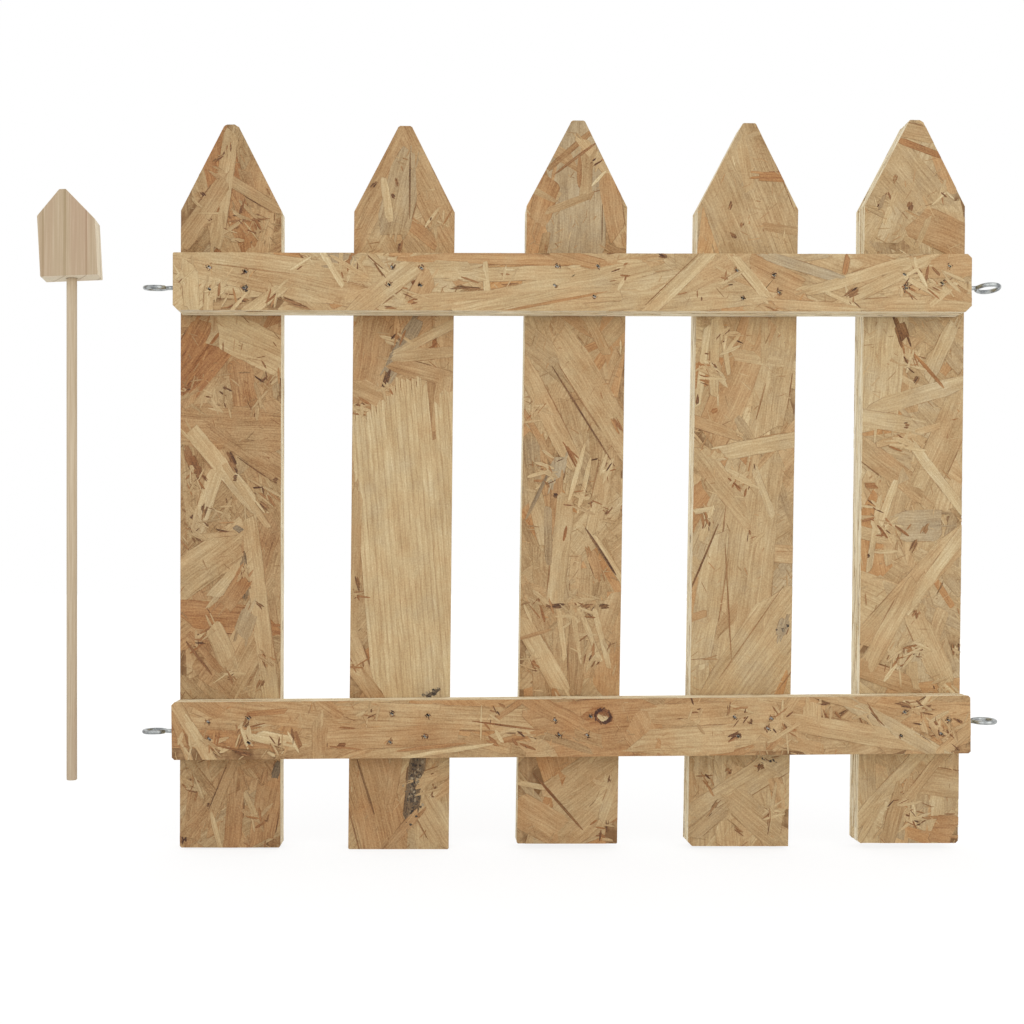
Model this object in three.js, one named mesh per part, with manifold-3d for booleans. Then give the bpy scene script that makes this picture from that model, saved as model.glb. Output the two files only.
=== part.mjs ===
// A small picket gate panel of oriented strand board, and the drop pin that hinges it to its neighbour.
// Five pointed pickets are nailed behind two rails. Screw eyes in the rail ends take the pin.
// Millimetres. +X runs to the right along the rails, +Y to the back and +Z up.
// The origin is the middle of the middle picket's foot. The pin lies beside the eyes that it drops through.

import * as THREE from "three";
import { mergeVertices } from "three/addons/utils/BufferGeometryUtils.js";
import Module from "manifold-3d";

const wasm = await Module();
wasm.setup();

// Boards
const boardThickness = 15;
const picketWidth = 51.5;
const picketHeight = 370;
const pointHeight = 44; // the sloping part at the top of a picket
const tipWidth = 6.5; // the flat that is left on the point
const railLength = 400;
const railOverhang = 1.05; // past the outer pickets' places
const railHeight = 29;
const upperRailLevel = 284.2; // height of the rail's middle line above the foot
const lowerRailLevel = 61.1;

// Brads, shot from the front. Each is cut from flat wire, with a head that stands out to two sides only.
const nailLength = 25;
const nailWireWidth = 1.25;
const nailWireDepth = 1;
const nailHeadWidth = 2.2;
const nailHeadThickness = 0.8;
const nailPointLength = 2;
const nailPointWidth = 0.3; // of the chisel edge
const nailSink = 1.2; // how deep the head lies below the rail's face
const nailTurn = 35; // degrees that the heads lean, as the gun was held

// Screw eyes
const wireDiameter = 2.3;
const ringDiameter = 13.1; // outside
const eyeLength = 25; // from the ring's far side to the point
const neckBendRadius = 1.9; // middle of the wire, where the shank turns into the ring
const threadDiameter = 2.6;
const threadStart = 1.6; // length of bare neck behind the rail's end before the thread begins
const eyePointLength = 3.5;
const ringGap = 0.5; // between the wire's cut end and the neck

// Drop pin
const dowelDiameter = 5.2;
const dowelReach = 253.5; // below the head
const dowelSocketDepth = 16; // inside the head
const dowelChamfer = 0.4;
const headWidth = 28.5;
const headHeight = 43.5;
const headThickness = 14;
const headLeftShoulder = 30.5; // height of the shoulders above the underside
const headRightShoulder = 28;
const headTipWidth = 3.3;
const headTipOffset = -1; // of the tip from the head's middle line
const headLean = -3; // degrees, to the left
const pinTurn = 4; // degrees, about its own length
const pinStand = 4.8; // the head's underside above the upper eyes' middle: a neighbour's ring goes between
const pinAside = 42.5; // from the axis of the left eyes

// Clearances
const nailClearance = 0.2;
const threadClearance = 0.25;
const socketClearance = 0.2;

// The panel was nailed up by eye. Each picket stands a little off its place and leans to the right.
// worn: how much is knocked off the corners: the tip's left and right one, then the foot's right and left one.
const pickets = [
  { shift: 0.9, rise: -2, lean: 0.1, worn: [1, 1.5, 0.8, 0.8] },
  { shift: 0.4, rise: -2.8, lean: 0.55, worn: [0.6, 0.6, 0.5, 0.5] },
  { shift: 0, rise: 0, lean: 0.9, worn: [0.5, 0.5, 0.5, 0.6] },
  { shift: 0.9, rise: -1.3, lean: 0.9, worn: [0.4, 0.4, 0.4, 2.2] },
  { shift: 1.1, rise: 0.3, lean: 0.65, worn: [0.4, 1.2, 1.2, 1.4] },
];

// worn: as for the pickets, from the top left corner clockwise.
const rails = [
  { name: "upper", level: upperRailLevel, shift: 1.3, tilt: -0.13, worn: [0.5, 2, 3, 2.5] },
  { name: "lower", level: lowerRailLevel, shift: 0.7, tilt: 0.48, worn: [1.5, 1, 1, 1.2] },
];

// reach: how far the ring stands out of the rail's end. lift: above the rail's middle line.
// turn: degrees about the shank, away from a level ring.
const eyes = [
  { rail: "upper", side: "left", reach: 16.4, lift: -2, turn: 6 },
  { rail: "lower", side: "left", reach: 16.2, lift: -0.7, turn: 0 },
  { rail: "upper", side: "right", reach: 17.3, lift: -1.2, turn: -9 },
  { rail: "lower", side: "right", reach: 15.8, lift: 0.9, turn: 4 },
];

// Where the four nails of each crossing went in, from the left picket to the right one, as shares of the
// crossing's half width and half height from its middle: across, then up.
const nailPlaces = {
  upper: [
    [[-0.33, 0.49], [0.37, 0.34], [-0.33, -0.27], [0.34, -0.23]],
    [[-0.21, 0.51], [0.36, 0.47], [-0.27, -0.1], [0.34, -0.12]],
    [[-0.41, 0.55], [0.38, 0.55], [-0.46, -0.11], [0.31, -0.49]],
    [[-0.32, 0.42], [0.4, 0.25], [-0.21, -0.54], [0.5, -0.34]],
    [[-0.38, 0.29], [0.49, 0.58], [-0.35, -0.17], [0.35, -0.02]],
  ],
  lower: [
    [[-0.34, 0.3], [0.44, 0.42], [-0.32, -0.28], [0.45, -0.42]],
    [[-0.13, 0.54], [0.57, 0.49], [-0.17, -0.44], [0.51, -0.25]],
    [[-0.32, 0.27], [0.37, 0.39], [-0.24, -0.25], [0.31, -0.25]],
    [[-0.23, 0.32], [0.49, 0.27], [-0.16, -0.34], [0.42, -0.08]],
    [[-0.28, 0.44], [0.57, 0.16], [-0.35, -0.37], [0.43, -0.3]],
  ],
};

const strandBoard = () => new THREE.MeshStandardMaterial({ color: 0xc4a074, roughness: 0.85 });
const pinWood = () => new THREE.MeshStandardMaterial({ color: 0xc2a88a, roughness: 0.8 });
const zincPlate = () => new THREE.MeshStandardMaterial({ color: 0xb4b6b4, roughness: 0.35, metalness: 1 });
const nailSteel = () => new THREE.MeshStandardMaterial({ color: 0x8d8c88, roughness: 0.45, metalness: 1 });

const radians = THREE.MathUtils.degToRad;

// A closed three.js geometry as a solid that can be cut and joined.
function solidOf(geometry) {
  const bare = geometry.clone();
  bare.deleteAttribute("normal");
  bare.deleteAttribute("uv");
  const merged = mergeVertices(bare, 1e-4);
  const triVerts = Uint32Array.from(merged.index.array);
  const vertProperties = merged.attributes.position.array;
  return new wasm.Manifold(new wasm.Mesh({ numProp: 3, vertProperties, triVerts }));
}

function geometryOf(solid) {
  const { vertProperties, triVerts } = solid.getMesh();
  const geometry = new THREE.BufferGeometry();
  geometry.setAttribute("position", new THREE.BufferAttribute(vertProperties, 3));
  geometry.setIndex(new THREE.BufferAttribute(triVerts, 1));
  return geometry;
}

function piece(name, geometry, material) {
  const mesh = new THREE.Mesh(geometry, material);
  mesh.name = name;
  return mesh;
}

// An outline drawn as seen from the front, given its thickness to both sides of y = 0.
function slab(points, thickness) {
  const outline = new THREE.Shape(points.map(([x, z]) => new THREE.Vector2(x, z)));
  const geometry = new THREE.ExtrudeGeometry(outline, { depth: thickness, bevelEnabled: false });
  return geometry.translate(0, 0, -thickness / 2).rotateX(Math.PI / 2);
}

// An outline whose corners, given as [x, z, worn], are cut back along both of their sides.
function wearCorners(corners) {
  return corners.flatMap(([x, z, worn], i) => {
    const neighbours = [corners.at(i - 1), corners[(i + 1) % corners.length]];
    return worn === 0 ? [[x, z]] : neighbours.map(([nextX, nextZ]) => {
      const share = worn / Math.hypot(nextX - x, nextZ - z);
      return [x + (nextX - x) * share, z + (nextZ - z) * share];
    });
  });
}

// An oblong cutter along +Y, from one depth to another, turned about its own middle line.
function punch(x, z, turn, { width, height, from, to }) {
  const geometry = new THREE.BoxGeometry(width, to - from, height).rotateY(turn);
  return solidOf(geometry.translate(x, (from + to) / 2, z));
}

// Where each board stands: an empty group that its piece and its fittings go into.
function stand(x, y, z, tilt) {
  const group = new THREE.Group();
  group.position.set(x, y, z);
  group.rotation.y = tilt;
  group.updateMatrixWorld();
  return group;
}

const middlePicket = (pickets.length - 1) / 2;
const picketPitch = (railLength - 2 * railOverhang - picketWidth) / (pickets.length - 1);
const picketStands = pickets.map(({ shift, rise, lean }, i) =>
  stand((i - middlePicket) * picketPitch + shift, 0, rise, radians(lean)));
const railStands = rails.map(({ level, shift, tilt }) =>
  stand(shift, -boardThickness, level, -radians(tilt)));

// Nails: every crossing's four places, in the panel's own plane.
const nails = rails.flatMap((rail, r) => pickets.flatMap((picket, p) => {
  const middle = new THREE.Vector3(0, 0, rail.level - picket.rise).applyMatrix4(picketStands[p].matrixWorld);
  const slope = Math.tan(radians(rail.tilt));
  return nailPlaces[rail.name][p].map(([across, up], n) => {
    const x = middle.x + (across * picketWidth) / 2;
    const z = rail.level + (middle.x - rail.shift) * slope + (up * railHeight) / 2;
    return { name: `nail_${rail.name}_${p + 1}_${"abcd"[n]}`, r, p, x, z };
  });
}));
const railFace = -boardThickness / 2; // in a board's own frame, where y = 0 is the middle of its thickness
const nailTip = railFace + nailSink + nailLength; // in the rail's frame

// The nail holes of one board, given in that board's own frame.
function nailHoles(holder, own, tools) {
  return own.flatMap(({ x, z }) => {
    const at = holder.worldToLocal(new THREE.Vector3(x, holder.position.y, z));
    const turn = radians(nailTurn) - holder.rotation.y;
    return tools.map((tool) => punch(at.x, at.z, turn, tool));
  });
}

const shankHole = { width: nailWireDepth + 2 * nailClearance, height: nailWireWidth + 2 * nailClearance };
const headHole = { width: nailHeadWidth + 2 * nailClearance, height: nailWireWidth + 2 * nailClearance };
const past = 1; // how far a cutter runs past the face that it opens

function makePicket({ lean, worn }, p) {
  const [tipLeft, tipRight, footRight, footLeft] = worn;
  const half = picketWidth / 2;
  const footSlope = Math.tan(radians(lean)); // the foot is sawn level once the picket leans
  const shoulder = picketHeight - pointHeight;
  const outline = wearCorners([
    [-half, -half * footSlope, footLeft],
    [half, half * footSlope, footRight],
    [half, shoulder, 0],
    [tipWidth / 2, picketHeight, tipRight],
    [-tipWidth / 2, picketHeight, tipLeft],
    [-half, shoulder, 0],
  ]);
  const front = -boardThickness / 2;
  const hole = { ...shankHole, from: front - past, to: nailTip - boardThickness + nailClearance };
  const holes = nailHoles(picketStands[p], nails.filter((nail) => nail.p === p), [hole]);
  const blank = solidOf(slab(outline, boardThickness));
  const solid = holes.reduce((left, cut) => left.subtract(cut), blank);
  return piece(`picket_${p + 1}`, geometryOf(solid), strandBoard());
}

// A wood screw's pilot hole, along X into one end of a rail.
function eyeHole({ side, reach, lift }) {
  const sides = 12;
  const depth = eyeLength - reach + threadClearance;
  const radius = threadDiameter / 2 + threadClearance;
  const sign = side === "left" ? -1 : 1;
  const geometry = new THREE.CylinderGeometry(radius, radius, depth + past, sides).rotateZ(Math.PI / 2);
  return solidOf(geometry.translate(sign * (railLength / 2 - (depth - past) / 2), 0, lift));
}

function makeRail({ name, worn }, r) {
  const [topLeft, topRight, bottomRight, bottomLeft] = worn;
  const end = railLength / 2;
  const half = railHeight / 2;
  const outline = wearCorners([
    [-end, -half, bottomLeft],
    [end, -half, bottomRight],
    [end, half, topRight],
    [-end, half, topLeft],
  ]);
  const headSeat = railFace + nailSink + nailHeadThickness + nailClearance;
  const holes = nailHoles(railStands[r], nails.filter((nail) => nail.r === r), [
    { ...shankHole, from: railFace, to: boardThickness / 2 + past },
    { ...headHole, from: railFace - past, to: headSeat },
  ]);
  const pilots = eyes.filter((eye) => eye.rail === name).map(eyeHole);
  const blank = solidOf(slab(outline, boardThickness));
  const solid = [...holes, ...pilots].reduce((left, cut) => left.subtract(cut), blank);
  return piece(`rail_${name}`, geometryOf(solid), strandBoard());
}

// A brad, along +Y from the top of its head: a T of flat wire that ends in a chisel edge.
function nailGeometry() {
  const half = [
    [nailHeadWidth / 2, 0],
    [nailHeadWidth / 2, nailHeadThickness],
    [nailWireDepth / 2, nailHeadThickness],
    [nailWireDepth / 2, nailLength - nailPointLength],
    [nailPointWidth / 2, nailLength],
  ];
  const mirrored = half.map(([x, y]) => [-x, y]).reverse();
  const outline = new THREE.Shape([...half, ...mirrored].map(([x, y]) => new THREE.Vector2(x, y)));
  const geometry = new THREE.ExtrudeGeometry(outline, { depth: nailWireWidth, bevelEnabled: false });
  return geometry.translate(0, 0, -nailWireWidth / 2);
}

function makeNail({ name, x, z }, geometry) {
  const nail = piece(name, geometry, nailSteel());
  nail.position.set(x, railFace - boardThickness + nailSink, z);
  nail.rotation.y = radians(nailTurn);
  return nail;
}

// The middle line of a bent wire that lies flat in the XY plane.
class FlatWire extends THREE.Curve {
  constructor(path) {
    super();
    this.path = path;
  }

  getPoint(t, target = new THREE.Vector3()) {
    const { x, y } = this.path.getPoint(t);
    return target.set(x, y, 0);
  }
}

// A screw eye. Its shank runs in along -X from the rail's end at x = 0, and its ring lies in the XY plane. The
// wire leaves the shank in a tight bend, goes round the ring and stops short of the neck.
function eyeGeometry(reach) {
  const wire = wireDiameter / 2;
  const ring = (ringDiameter - wireDiameter) / 2;
  const centre = reach - ringDiameter / 2;
  const bendAngle = Math.acos(neckBendRadius / (ring + neckBendRadius));
  const bendX = centre - (ring + neckBendRadius) * Math.sin(bendAngle);
  const cutAngle = Math.asin((wire + ringGap) / (ring - wire));
  const path = new THREE.Path();
  path.moveTo(-threadStart - wireDiameter, 0);
  path.lineTo(bendX, 0);
  path.absarc(bendX, -neckBendRadius, neckBendRadius, Math.PI / 2, Math.PI / 2 - bendAngle, true);
  path.absarc(centre, 0, ring, -Math.PI / 2 - bendAngle, Math.PI - cutAngle, false);
  const section = new THREE.Shape().absarc(0, 0, wire, 0, 2 * Math.PI);
  const bent = new THREE.ExtrudeGeometry(section, {
    steps: 46,
    curveSegments: 5, // a full circle gets twice as many
    extrudePath: new FlatWire(path),
  });
  const tip = reach - eyeLength;
  const thread = [
    [0, tip],
    [threadDiameter / 2, tip + eyePointLength],
    [threadDiameter / 2, -threadStart],
    [0, -threadStart],
  ].map(([r, x]) => new THREE.Vector2(r, x));
  const shank = new THREE.LatheGeometry(thread, 12).rotateZ(-Math.PI / 2);
  return geometryOf(solidOf(bent).add(solidOf(shank)));
}

// Goes into its rail's stand.
function makeEye({ rail, side, reach, lift, turn }) {
  const eye = piece(`eye_${rail}_${side}`, eyeGeometry(reach), zincPlate());
  const sign = side === "left" ? -1 : 1;
  eye.position.set((sign * railLength) / 2, 0, lift);
  eye.rotation.set(radians(turn), 0, side === "left" ? Math.PI : 0);
  return eye;
}

// The pin's own frame has its origin at the middle of the head's underside, on the dowel's axis.
function makeDowel() {
  const radius = dowelDiameter / 2;
  const profile = [
    [0, -dowelReach],
    [radius - dowelChamfer, -dowelReach],
    [radius, -dowelReach + dowelChamfer],
    [radius, dowelSocketDepth - dowelChamfer],
    [radius - dowelChamfer, dowelSocketDepth],
    [0, dowelSocketDepth],
  ].map(([r, z]) => new THREE.Vector2(r, z));
  return piece("pin_dowel", new THREE.LatheGeometry(profile, 20).rotateX(Math.PI / 2), pinWood());
}

function makeHead() {
  const half = headWidth / 2;
  const outline = [
    [-half, 0],
    [half, 0],
    [half, headRightShoulder],
    [headTipOffset + headTipWidth / 2, headHeight],
    [headTipOffset - headTipWidth / 2, headHeight],
    [-half, headLeftShoulder],
  ];
  const block = slab(outline, headThickness).rotateY(radians(headLean));
  const radius = dowelDiameter / 2 + socketClearance;
  const depth = dowelSocketDepth + socketClearance;
  const socket = new THREE.CylinderGeometry(radius, radius, depth + headWidth, 20).rotateX(Math.PI / 2);
  socket.translate(0, 0, (depth - headWidth) / 2);
  return piece("pin_head", geometryOf(solidOf(block).subtract(solidOf(socket))), pinWood());
}

// The panel
const gate = new THREE.Group();
pickets.forEach((picket, p) => picketStands[p].add(makePicket(picket, p)));
rails.forEach((rail, r) => railStands[r].add(makeRail(rail, r)));
eyes.forEach((eye) => railStands[rails.findIndex(({ name }) => name === eye.rail)].add(makeEye(eye)));
const brad = nailGeometry();
gate.add(...picketStands, ...railStands, ...nails.map((nail) => makeNail(nail, brad)));

// The drop pin, beside the axis of the left eyes and at the height that it has in use
const upperLeftEye = railStands[0].localToWorld(
  new THREE.Vector3(-railLength / 2 - eyes[0].reach + ringDiameter / 2, 0, eyes[0].lift));
const pin = new THREE.Group();
pin.position.set(upperLeftEye.x - pinAside, upperLeftEye.y, upperLeftEye.z + pinStand);
pin.rotation.z = radians(pinTurn);
pin.add(makeDowel(), makeHead());
gate.add(pin);

export default gate;
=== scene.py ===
import math
import random

import bmesh
import bpy
from mathutils import Matrix, Vector


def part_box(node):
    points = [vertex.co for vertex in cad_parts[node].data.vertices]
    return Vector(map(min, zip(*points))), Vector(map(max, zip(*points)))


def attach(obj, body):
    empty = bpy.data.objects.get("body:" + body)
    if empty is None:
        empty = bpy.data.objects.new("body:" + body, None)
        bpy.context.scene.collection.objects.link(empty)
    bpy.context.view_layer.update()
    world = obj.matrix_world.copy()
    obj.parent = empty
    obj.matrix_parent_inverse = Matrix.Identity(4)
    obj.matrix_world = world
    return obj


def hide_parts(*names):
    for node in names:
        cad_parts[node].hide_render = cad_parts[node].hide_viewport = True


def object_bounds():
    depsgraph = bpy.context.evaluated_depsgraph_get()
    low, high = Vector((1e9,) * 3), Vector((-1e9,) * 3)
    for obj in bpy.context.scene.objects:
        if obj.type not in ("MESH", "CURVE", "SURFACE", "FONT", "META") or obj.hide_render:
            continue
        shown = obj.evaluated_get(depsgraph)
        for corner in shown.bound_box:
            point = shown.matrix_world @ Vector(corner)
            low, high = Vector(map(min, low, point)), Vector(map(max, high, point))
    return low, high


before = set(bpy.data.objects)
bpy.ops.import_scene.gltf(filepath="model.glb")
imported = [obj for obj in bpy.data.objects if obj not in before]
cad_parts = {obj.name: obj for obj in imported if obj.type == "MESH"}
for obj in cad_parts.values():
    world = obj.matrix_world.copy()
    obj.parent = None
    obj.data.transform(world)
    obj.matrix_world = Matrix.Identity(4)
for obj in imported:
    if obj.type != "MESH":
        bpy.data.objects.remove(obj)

cad_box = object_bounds()

# A small picket gate panel of oriented strand board, and the drop pin that hinges it to its neighbour.
# Metres, in the frame of the solids: +X along the rails, +Y to the back, +Z up. Every board is rebuilt as a
# core with beds of wood strands pressed onto its faces and sawn edges, inside the board's own outline.

MM = 0.001
PICKETS = [f"picket_{n}" for n in range(1, 6)]
RAILS = ["rail_upper", "rail_lower"]
EYES = [f"eye_{rail}_{side}" for rail in ("upper", "lower") for side in ("left", "right")]
NAILS = sorted(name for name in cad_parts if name.startswith("nail_"))


def mesh_of(name, bm):
    """A mesh with the contents of a bmesh, which is then freed."""
    mesh = bpy.data.meshes.new(name)
    bm.to_mesh(mesh)
    bm.free()
    return mesh


def add_object(name, data):
    """Adds an object to the scene that holds a mesh, a lamp or a camera."""
    item = bpy.data.objects.new(name, data)
    bpy.context.scene.collection.objects.link(item)
    return item


# Finishes

def linear(hex_colour):
    """An sRGB hex colour as the linear RGBA that a shader socket takes."""
    parts = [int(hex_colour[i:i + 2], 16) / 255 for i in (1, 3, 5)]
    return [p / 12.92 if p <= 0.04045 else ((p + 0.055) / 1.055) ** 2.4 for p in parts] + [1.0]


def feed(tree, made, inputs):
    """Sets inputs of a shader node. Each is a value, a hex colour, or the output socket that feeds it."""
    for socket, value in inputs.items():
        if isinstance(value, bpy.types.NodeSocket):
            tree.links.new(value, made.inputs[socket])
        else:
            made.inputs[socket].default_value = linear(value) if isinstance(value, str) else value


def node(tree, kind, inputs=None, stops=None, **settings):
    """Adds a shader node, with its inputs, the stops of its colour ramp and its other settings."""
    made = tree.nodes.new(kind)
    for name, value in settings.items():
        setattr(made, name, value)
    feed(tree, made, inputs or {})
    for i, (place, colour) in enumerate(stops or []):
        elements = made.color_ramp.elements
        stop = elements[i] if i < 2 else elements.new(place)
        stop.position = place
        stop.color = linear(colour)
    return made


# Sockets go by number where their names repeat or are long. Of Map Range, 0 is the value, 1 and 2 are the
# range it comes from, and 3 and 4 the range it goes to. Of Mix, 0 is the share, and 6 and 7 are the colours.

def finish(name):
    """A new material: its node tree and its shader."""
    material = bpy.data.materials.new(name)
    material.use_nodes = True
    tree = material.node_tree
    return material, tree, tree.nodes["Principled BSDF"]


WOOD_IOR = 1.5


def strand_board_face():
    """Oriented strand board, pressed from flakes of pine and left unsanded.

    Each strand keeps its own tone, hue and grain. Torn rims look dark in broken lines, from glue and from
    painted shadow, and the dry wood is matt, with a waxy gloss only where resin came through.
    """
    material, tree, shader = finish("strand_board_face")
    grain = node(tree, "ShaderNodeAttribute", attribute_name="grain").outputs["Vector"]
    look = node(tree, "ShaderNodeAttribute", attribute_name="look").outputs["Vector"]
    rim = node(tree, "ShaderNodeAttribute", attribute_name="rim").outputs["Fac"]
    tone, hue, rings = node(tree, "ShaderNodeSeparateXYZ", {0: look}).outputs
    place = node(tree, "ShaderNodeTexCoord").outputs["Object"]

    # The grain wanders sideways by a millimetre or two over 25 mm
    slow = node(tree, "ShaderNodeVectorMath", {0: grain, 1: (0.04, 0.1, 1)}, operation="MULTIPLY").outputs[0]
    drift = node(tree, "ShaderNodeTexNoise", {"Vector": slow, "Scale": 1, "Detail": 1}).outputs["Color"]
    straight = grain
    grain = node(tree, "ShaderNodeVectorMath", {0: drift, 1: (0, 4, 0), 2: grain},
                 operation="MULTIPLY_ADD").outputs[0]
    # Fibres: streaks about 1 mm wide and 30 mm long, drawn a little coarse so that they show
    along = node(tree, "ShaderNodeVectorMath", {0: grain, 1: (0.035, 0.9, 1)},
                 operation="MULTIPLY").outputs[0]
    fibre = node(tree, "ShaderNodeTexNoise", {
        "Vector": along, "Scale": 1, "Detail": 3, "Roughness": 0.65,
    }).outputs[0]
    # Hair fibres and splits: 0.5 mm wide and 11 mm long
    hair = node(tree, "ShaderNodeVectorMath", {0: grain, 1: (0.09, 2.2, 1)}, operation="MULTIPLY").outputs[0]
    hair = node(tree, "ShaderNodeTexNoise", {
        "Vector": hair, "Scale": 1, "Detail": 2, "Roughness": 0.6,
    }).outputs[0]
    # Growth rings where the flake was cut along the log: lines 2.7 mm apart
    bent = node(tree, "ShaderNodeVectorMath", {0: straight, 1: (0.0015, 0.1164, 0.01)},
                operation="MULTIPLY").outputs[0]
    growth = node(tree, "ShaderNodeTexWave", {
        "Vector": bent, "Scale": 1, "Distortion": 0.8, "Detail": 1, "Detail Scale": 1.0,
    }, wave_type="BANDS", bands_direction="Y", wave_profile="SAW").outputs["Fac"]
    # Blotches of stain and resin, about 25 mm along the grain and 8 mm across
    wide = node(tree, "ShaderNodeVectorMath", {0: grain, 1: (0.04, 0.13, 1)}, operation="MULTIPLY").outputs[0]
    blotch = node(tree, "ShaderNodeTexNoise", {"Vector": wide, "Scale": 1, "Detail": 3}).outputs[0]
    # Torn fibre ends and dust, about 0.8 mm
    fleck = node(tree, "ShaderNodeTexNoise", {
        "Vector": place, "Scale": 1200, "Detail": 2, "Roughness": 0.7,
    }).outputs[0]
    # Damp and glue tint the board in patches 10 to 20 mm wide, whatever strand they fall on
    patch = node(tree, "ShaderNodeTexNoise", {
        "Vector": place, "Scale": 70, "Detail": 3, "Roughness": 0.6,
    }).outputs[0]

    streak = node(tree, "ShaderNodeMapRange", {0: fibre, 1: 0.25, 2: 0.75, 3: -0.11, 4: 0.11}).outputs[0]
    split = node(tree, "ShaderNodeMapRange", {0: hair, 1: 0.28, 2: 0.72, 3: -0.1, 4: 0.1}).outputs[0]
    line = node(tree, "ShaderNodeMapRange", {0: growth, 1: 0.6, 2: 1.0, 3: 0.025, 4: -0.13}).outputs[0]
    line = node(tree, "ShaderNodeMath", {0: line, 1: rings}, operation="MULTIPLY").outputs[0]
    stain = node(tree, "ShaderNodeMapRange", {0: blotch, 1: 0.25, 2: 0.75, 3: -0.1, 4: 0.1}).outputs[0]
    dust = node(tree, "ShaderNodeMapRange", {0: fleck, 1: 0.3, 2: 0.7, 3: -0.1, 4: 0.1}).outputs[0]
    tint = node(tree, "ShaderNodeMapRange", {0: patch, 1: 0.3, 2: 0.7, 3: -0.25, 4: 0.25}).outputs[0]
    total = tone
    for part in (streak, split, line, stain, dust):
        total = node(tree, "ShaderNodeMath", {0: total, 1: part}, operation="ADD").outputs[0]
    straw = node(tree, "ShaderNodeValToRGB", {0: total}, stops=[
        (0.0, "#4a3323"), (1.0, "#dfcfa6"), (0.2, "#81623e"), (0.4, "#a0825a"), (0.6, "#b69a70"),
        (0.8, "#c9b287"),
    ]).outputs[0]
    russet = node(tree, "ShaderNodeValToRGB", {0: total}, stops=[
        (0.0, "#43261a"), (1.0, "#d8b383"), (0.25, "#86552f"), (0.5, "#a97a4b"), (0.75, "#bf9461"),
    ]).outputs[0]
    grey = node(tree, "ShaderNodeValToRGB", {0: total}, stops=[
        (0.0, "#3a322a"), (1.0, "#cfc2a8"), (0.25, "#736551"), (0.5, "#9c8b70"), (0.75, "#b6a88c"),
    ]).outputs[0]
    stained = node(tree, "ShaderNodeMath", {0: hue, 1: tint}, operation="ADD").outputs[0]
    warm = node(tree, "ShaderNodeMath", {0: stained, 1: 0.0},
                operation="MAXIMUM", use_clamp=True).outputs[0]
    aged = node(tree, "ShaderNodeMath", {0: stained, 1: -1.0},
                operation="MULTIPLY", use_clamp=True).outputs[0]
    wood = node(tree, "ShaderNodeMix", {0: warm, 6: straw, 7: russet}, data_type="RGBA").outputs[2]
    wood = node(tree, "ShaderNodeMix", {0: aged, 6: wood, 7: grey}, data_type="RGBA").outputs[2]

    # Torn rims: dark in broken lines, where glue gathers and as painted shadow
    broken = node(tree, "ShaderNodeTexNoise", {"Vector": place, "Scale": 110, "Detail": 3}).outputs[0]
    rim_glue_and_shade = node(tree, "ShaderNodeMapRange", {0: broken, 1: 0.46, 2: 0.58, 3: 0.05, 4: 0.8}).outputs[0]
    rim_glue_and_shade = node(tree, "ShaderNodeMath", {0: rim_glue_and_shade, 1: rim}, operation="MULTIPLY").outputs[0]
    wood = node(tree, "ShaderNodeMix", {0: rim_glue_and_shade, 6: wood, 7: "#75522f"}, data_type="RGBA").outputs[2]

    height = node(tree, "ShaderNodeMath", {0: fibre, 1: fleck}, operation="ADD").outputs[0]
    height = node(tree, "ShaderNodeMath", {0: height, 1: hair}, operation="ADD").outputs[0]
    bump = node(tree, "ShaderNodeBump", {
        "Strength": 0.5, "Distance": 0.15 * MM, "Height": height,
    }).outputs[0]
    gloss = node(tree, "ShaderNodeMapRange", {0: blotch, 1: 0.3, 2: 0.7, 3: 0.9, 4: 0.7}).outputs[0]
    feed(tree, shader, {"Base Color": wood, "Normal": bump, "Roughness": gloss, "IOR": WOOD_IOR})
    return material


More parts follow.
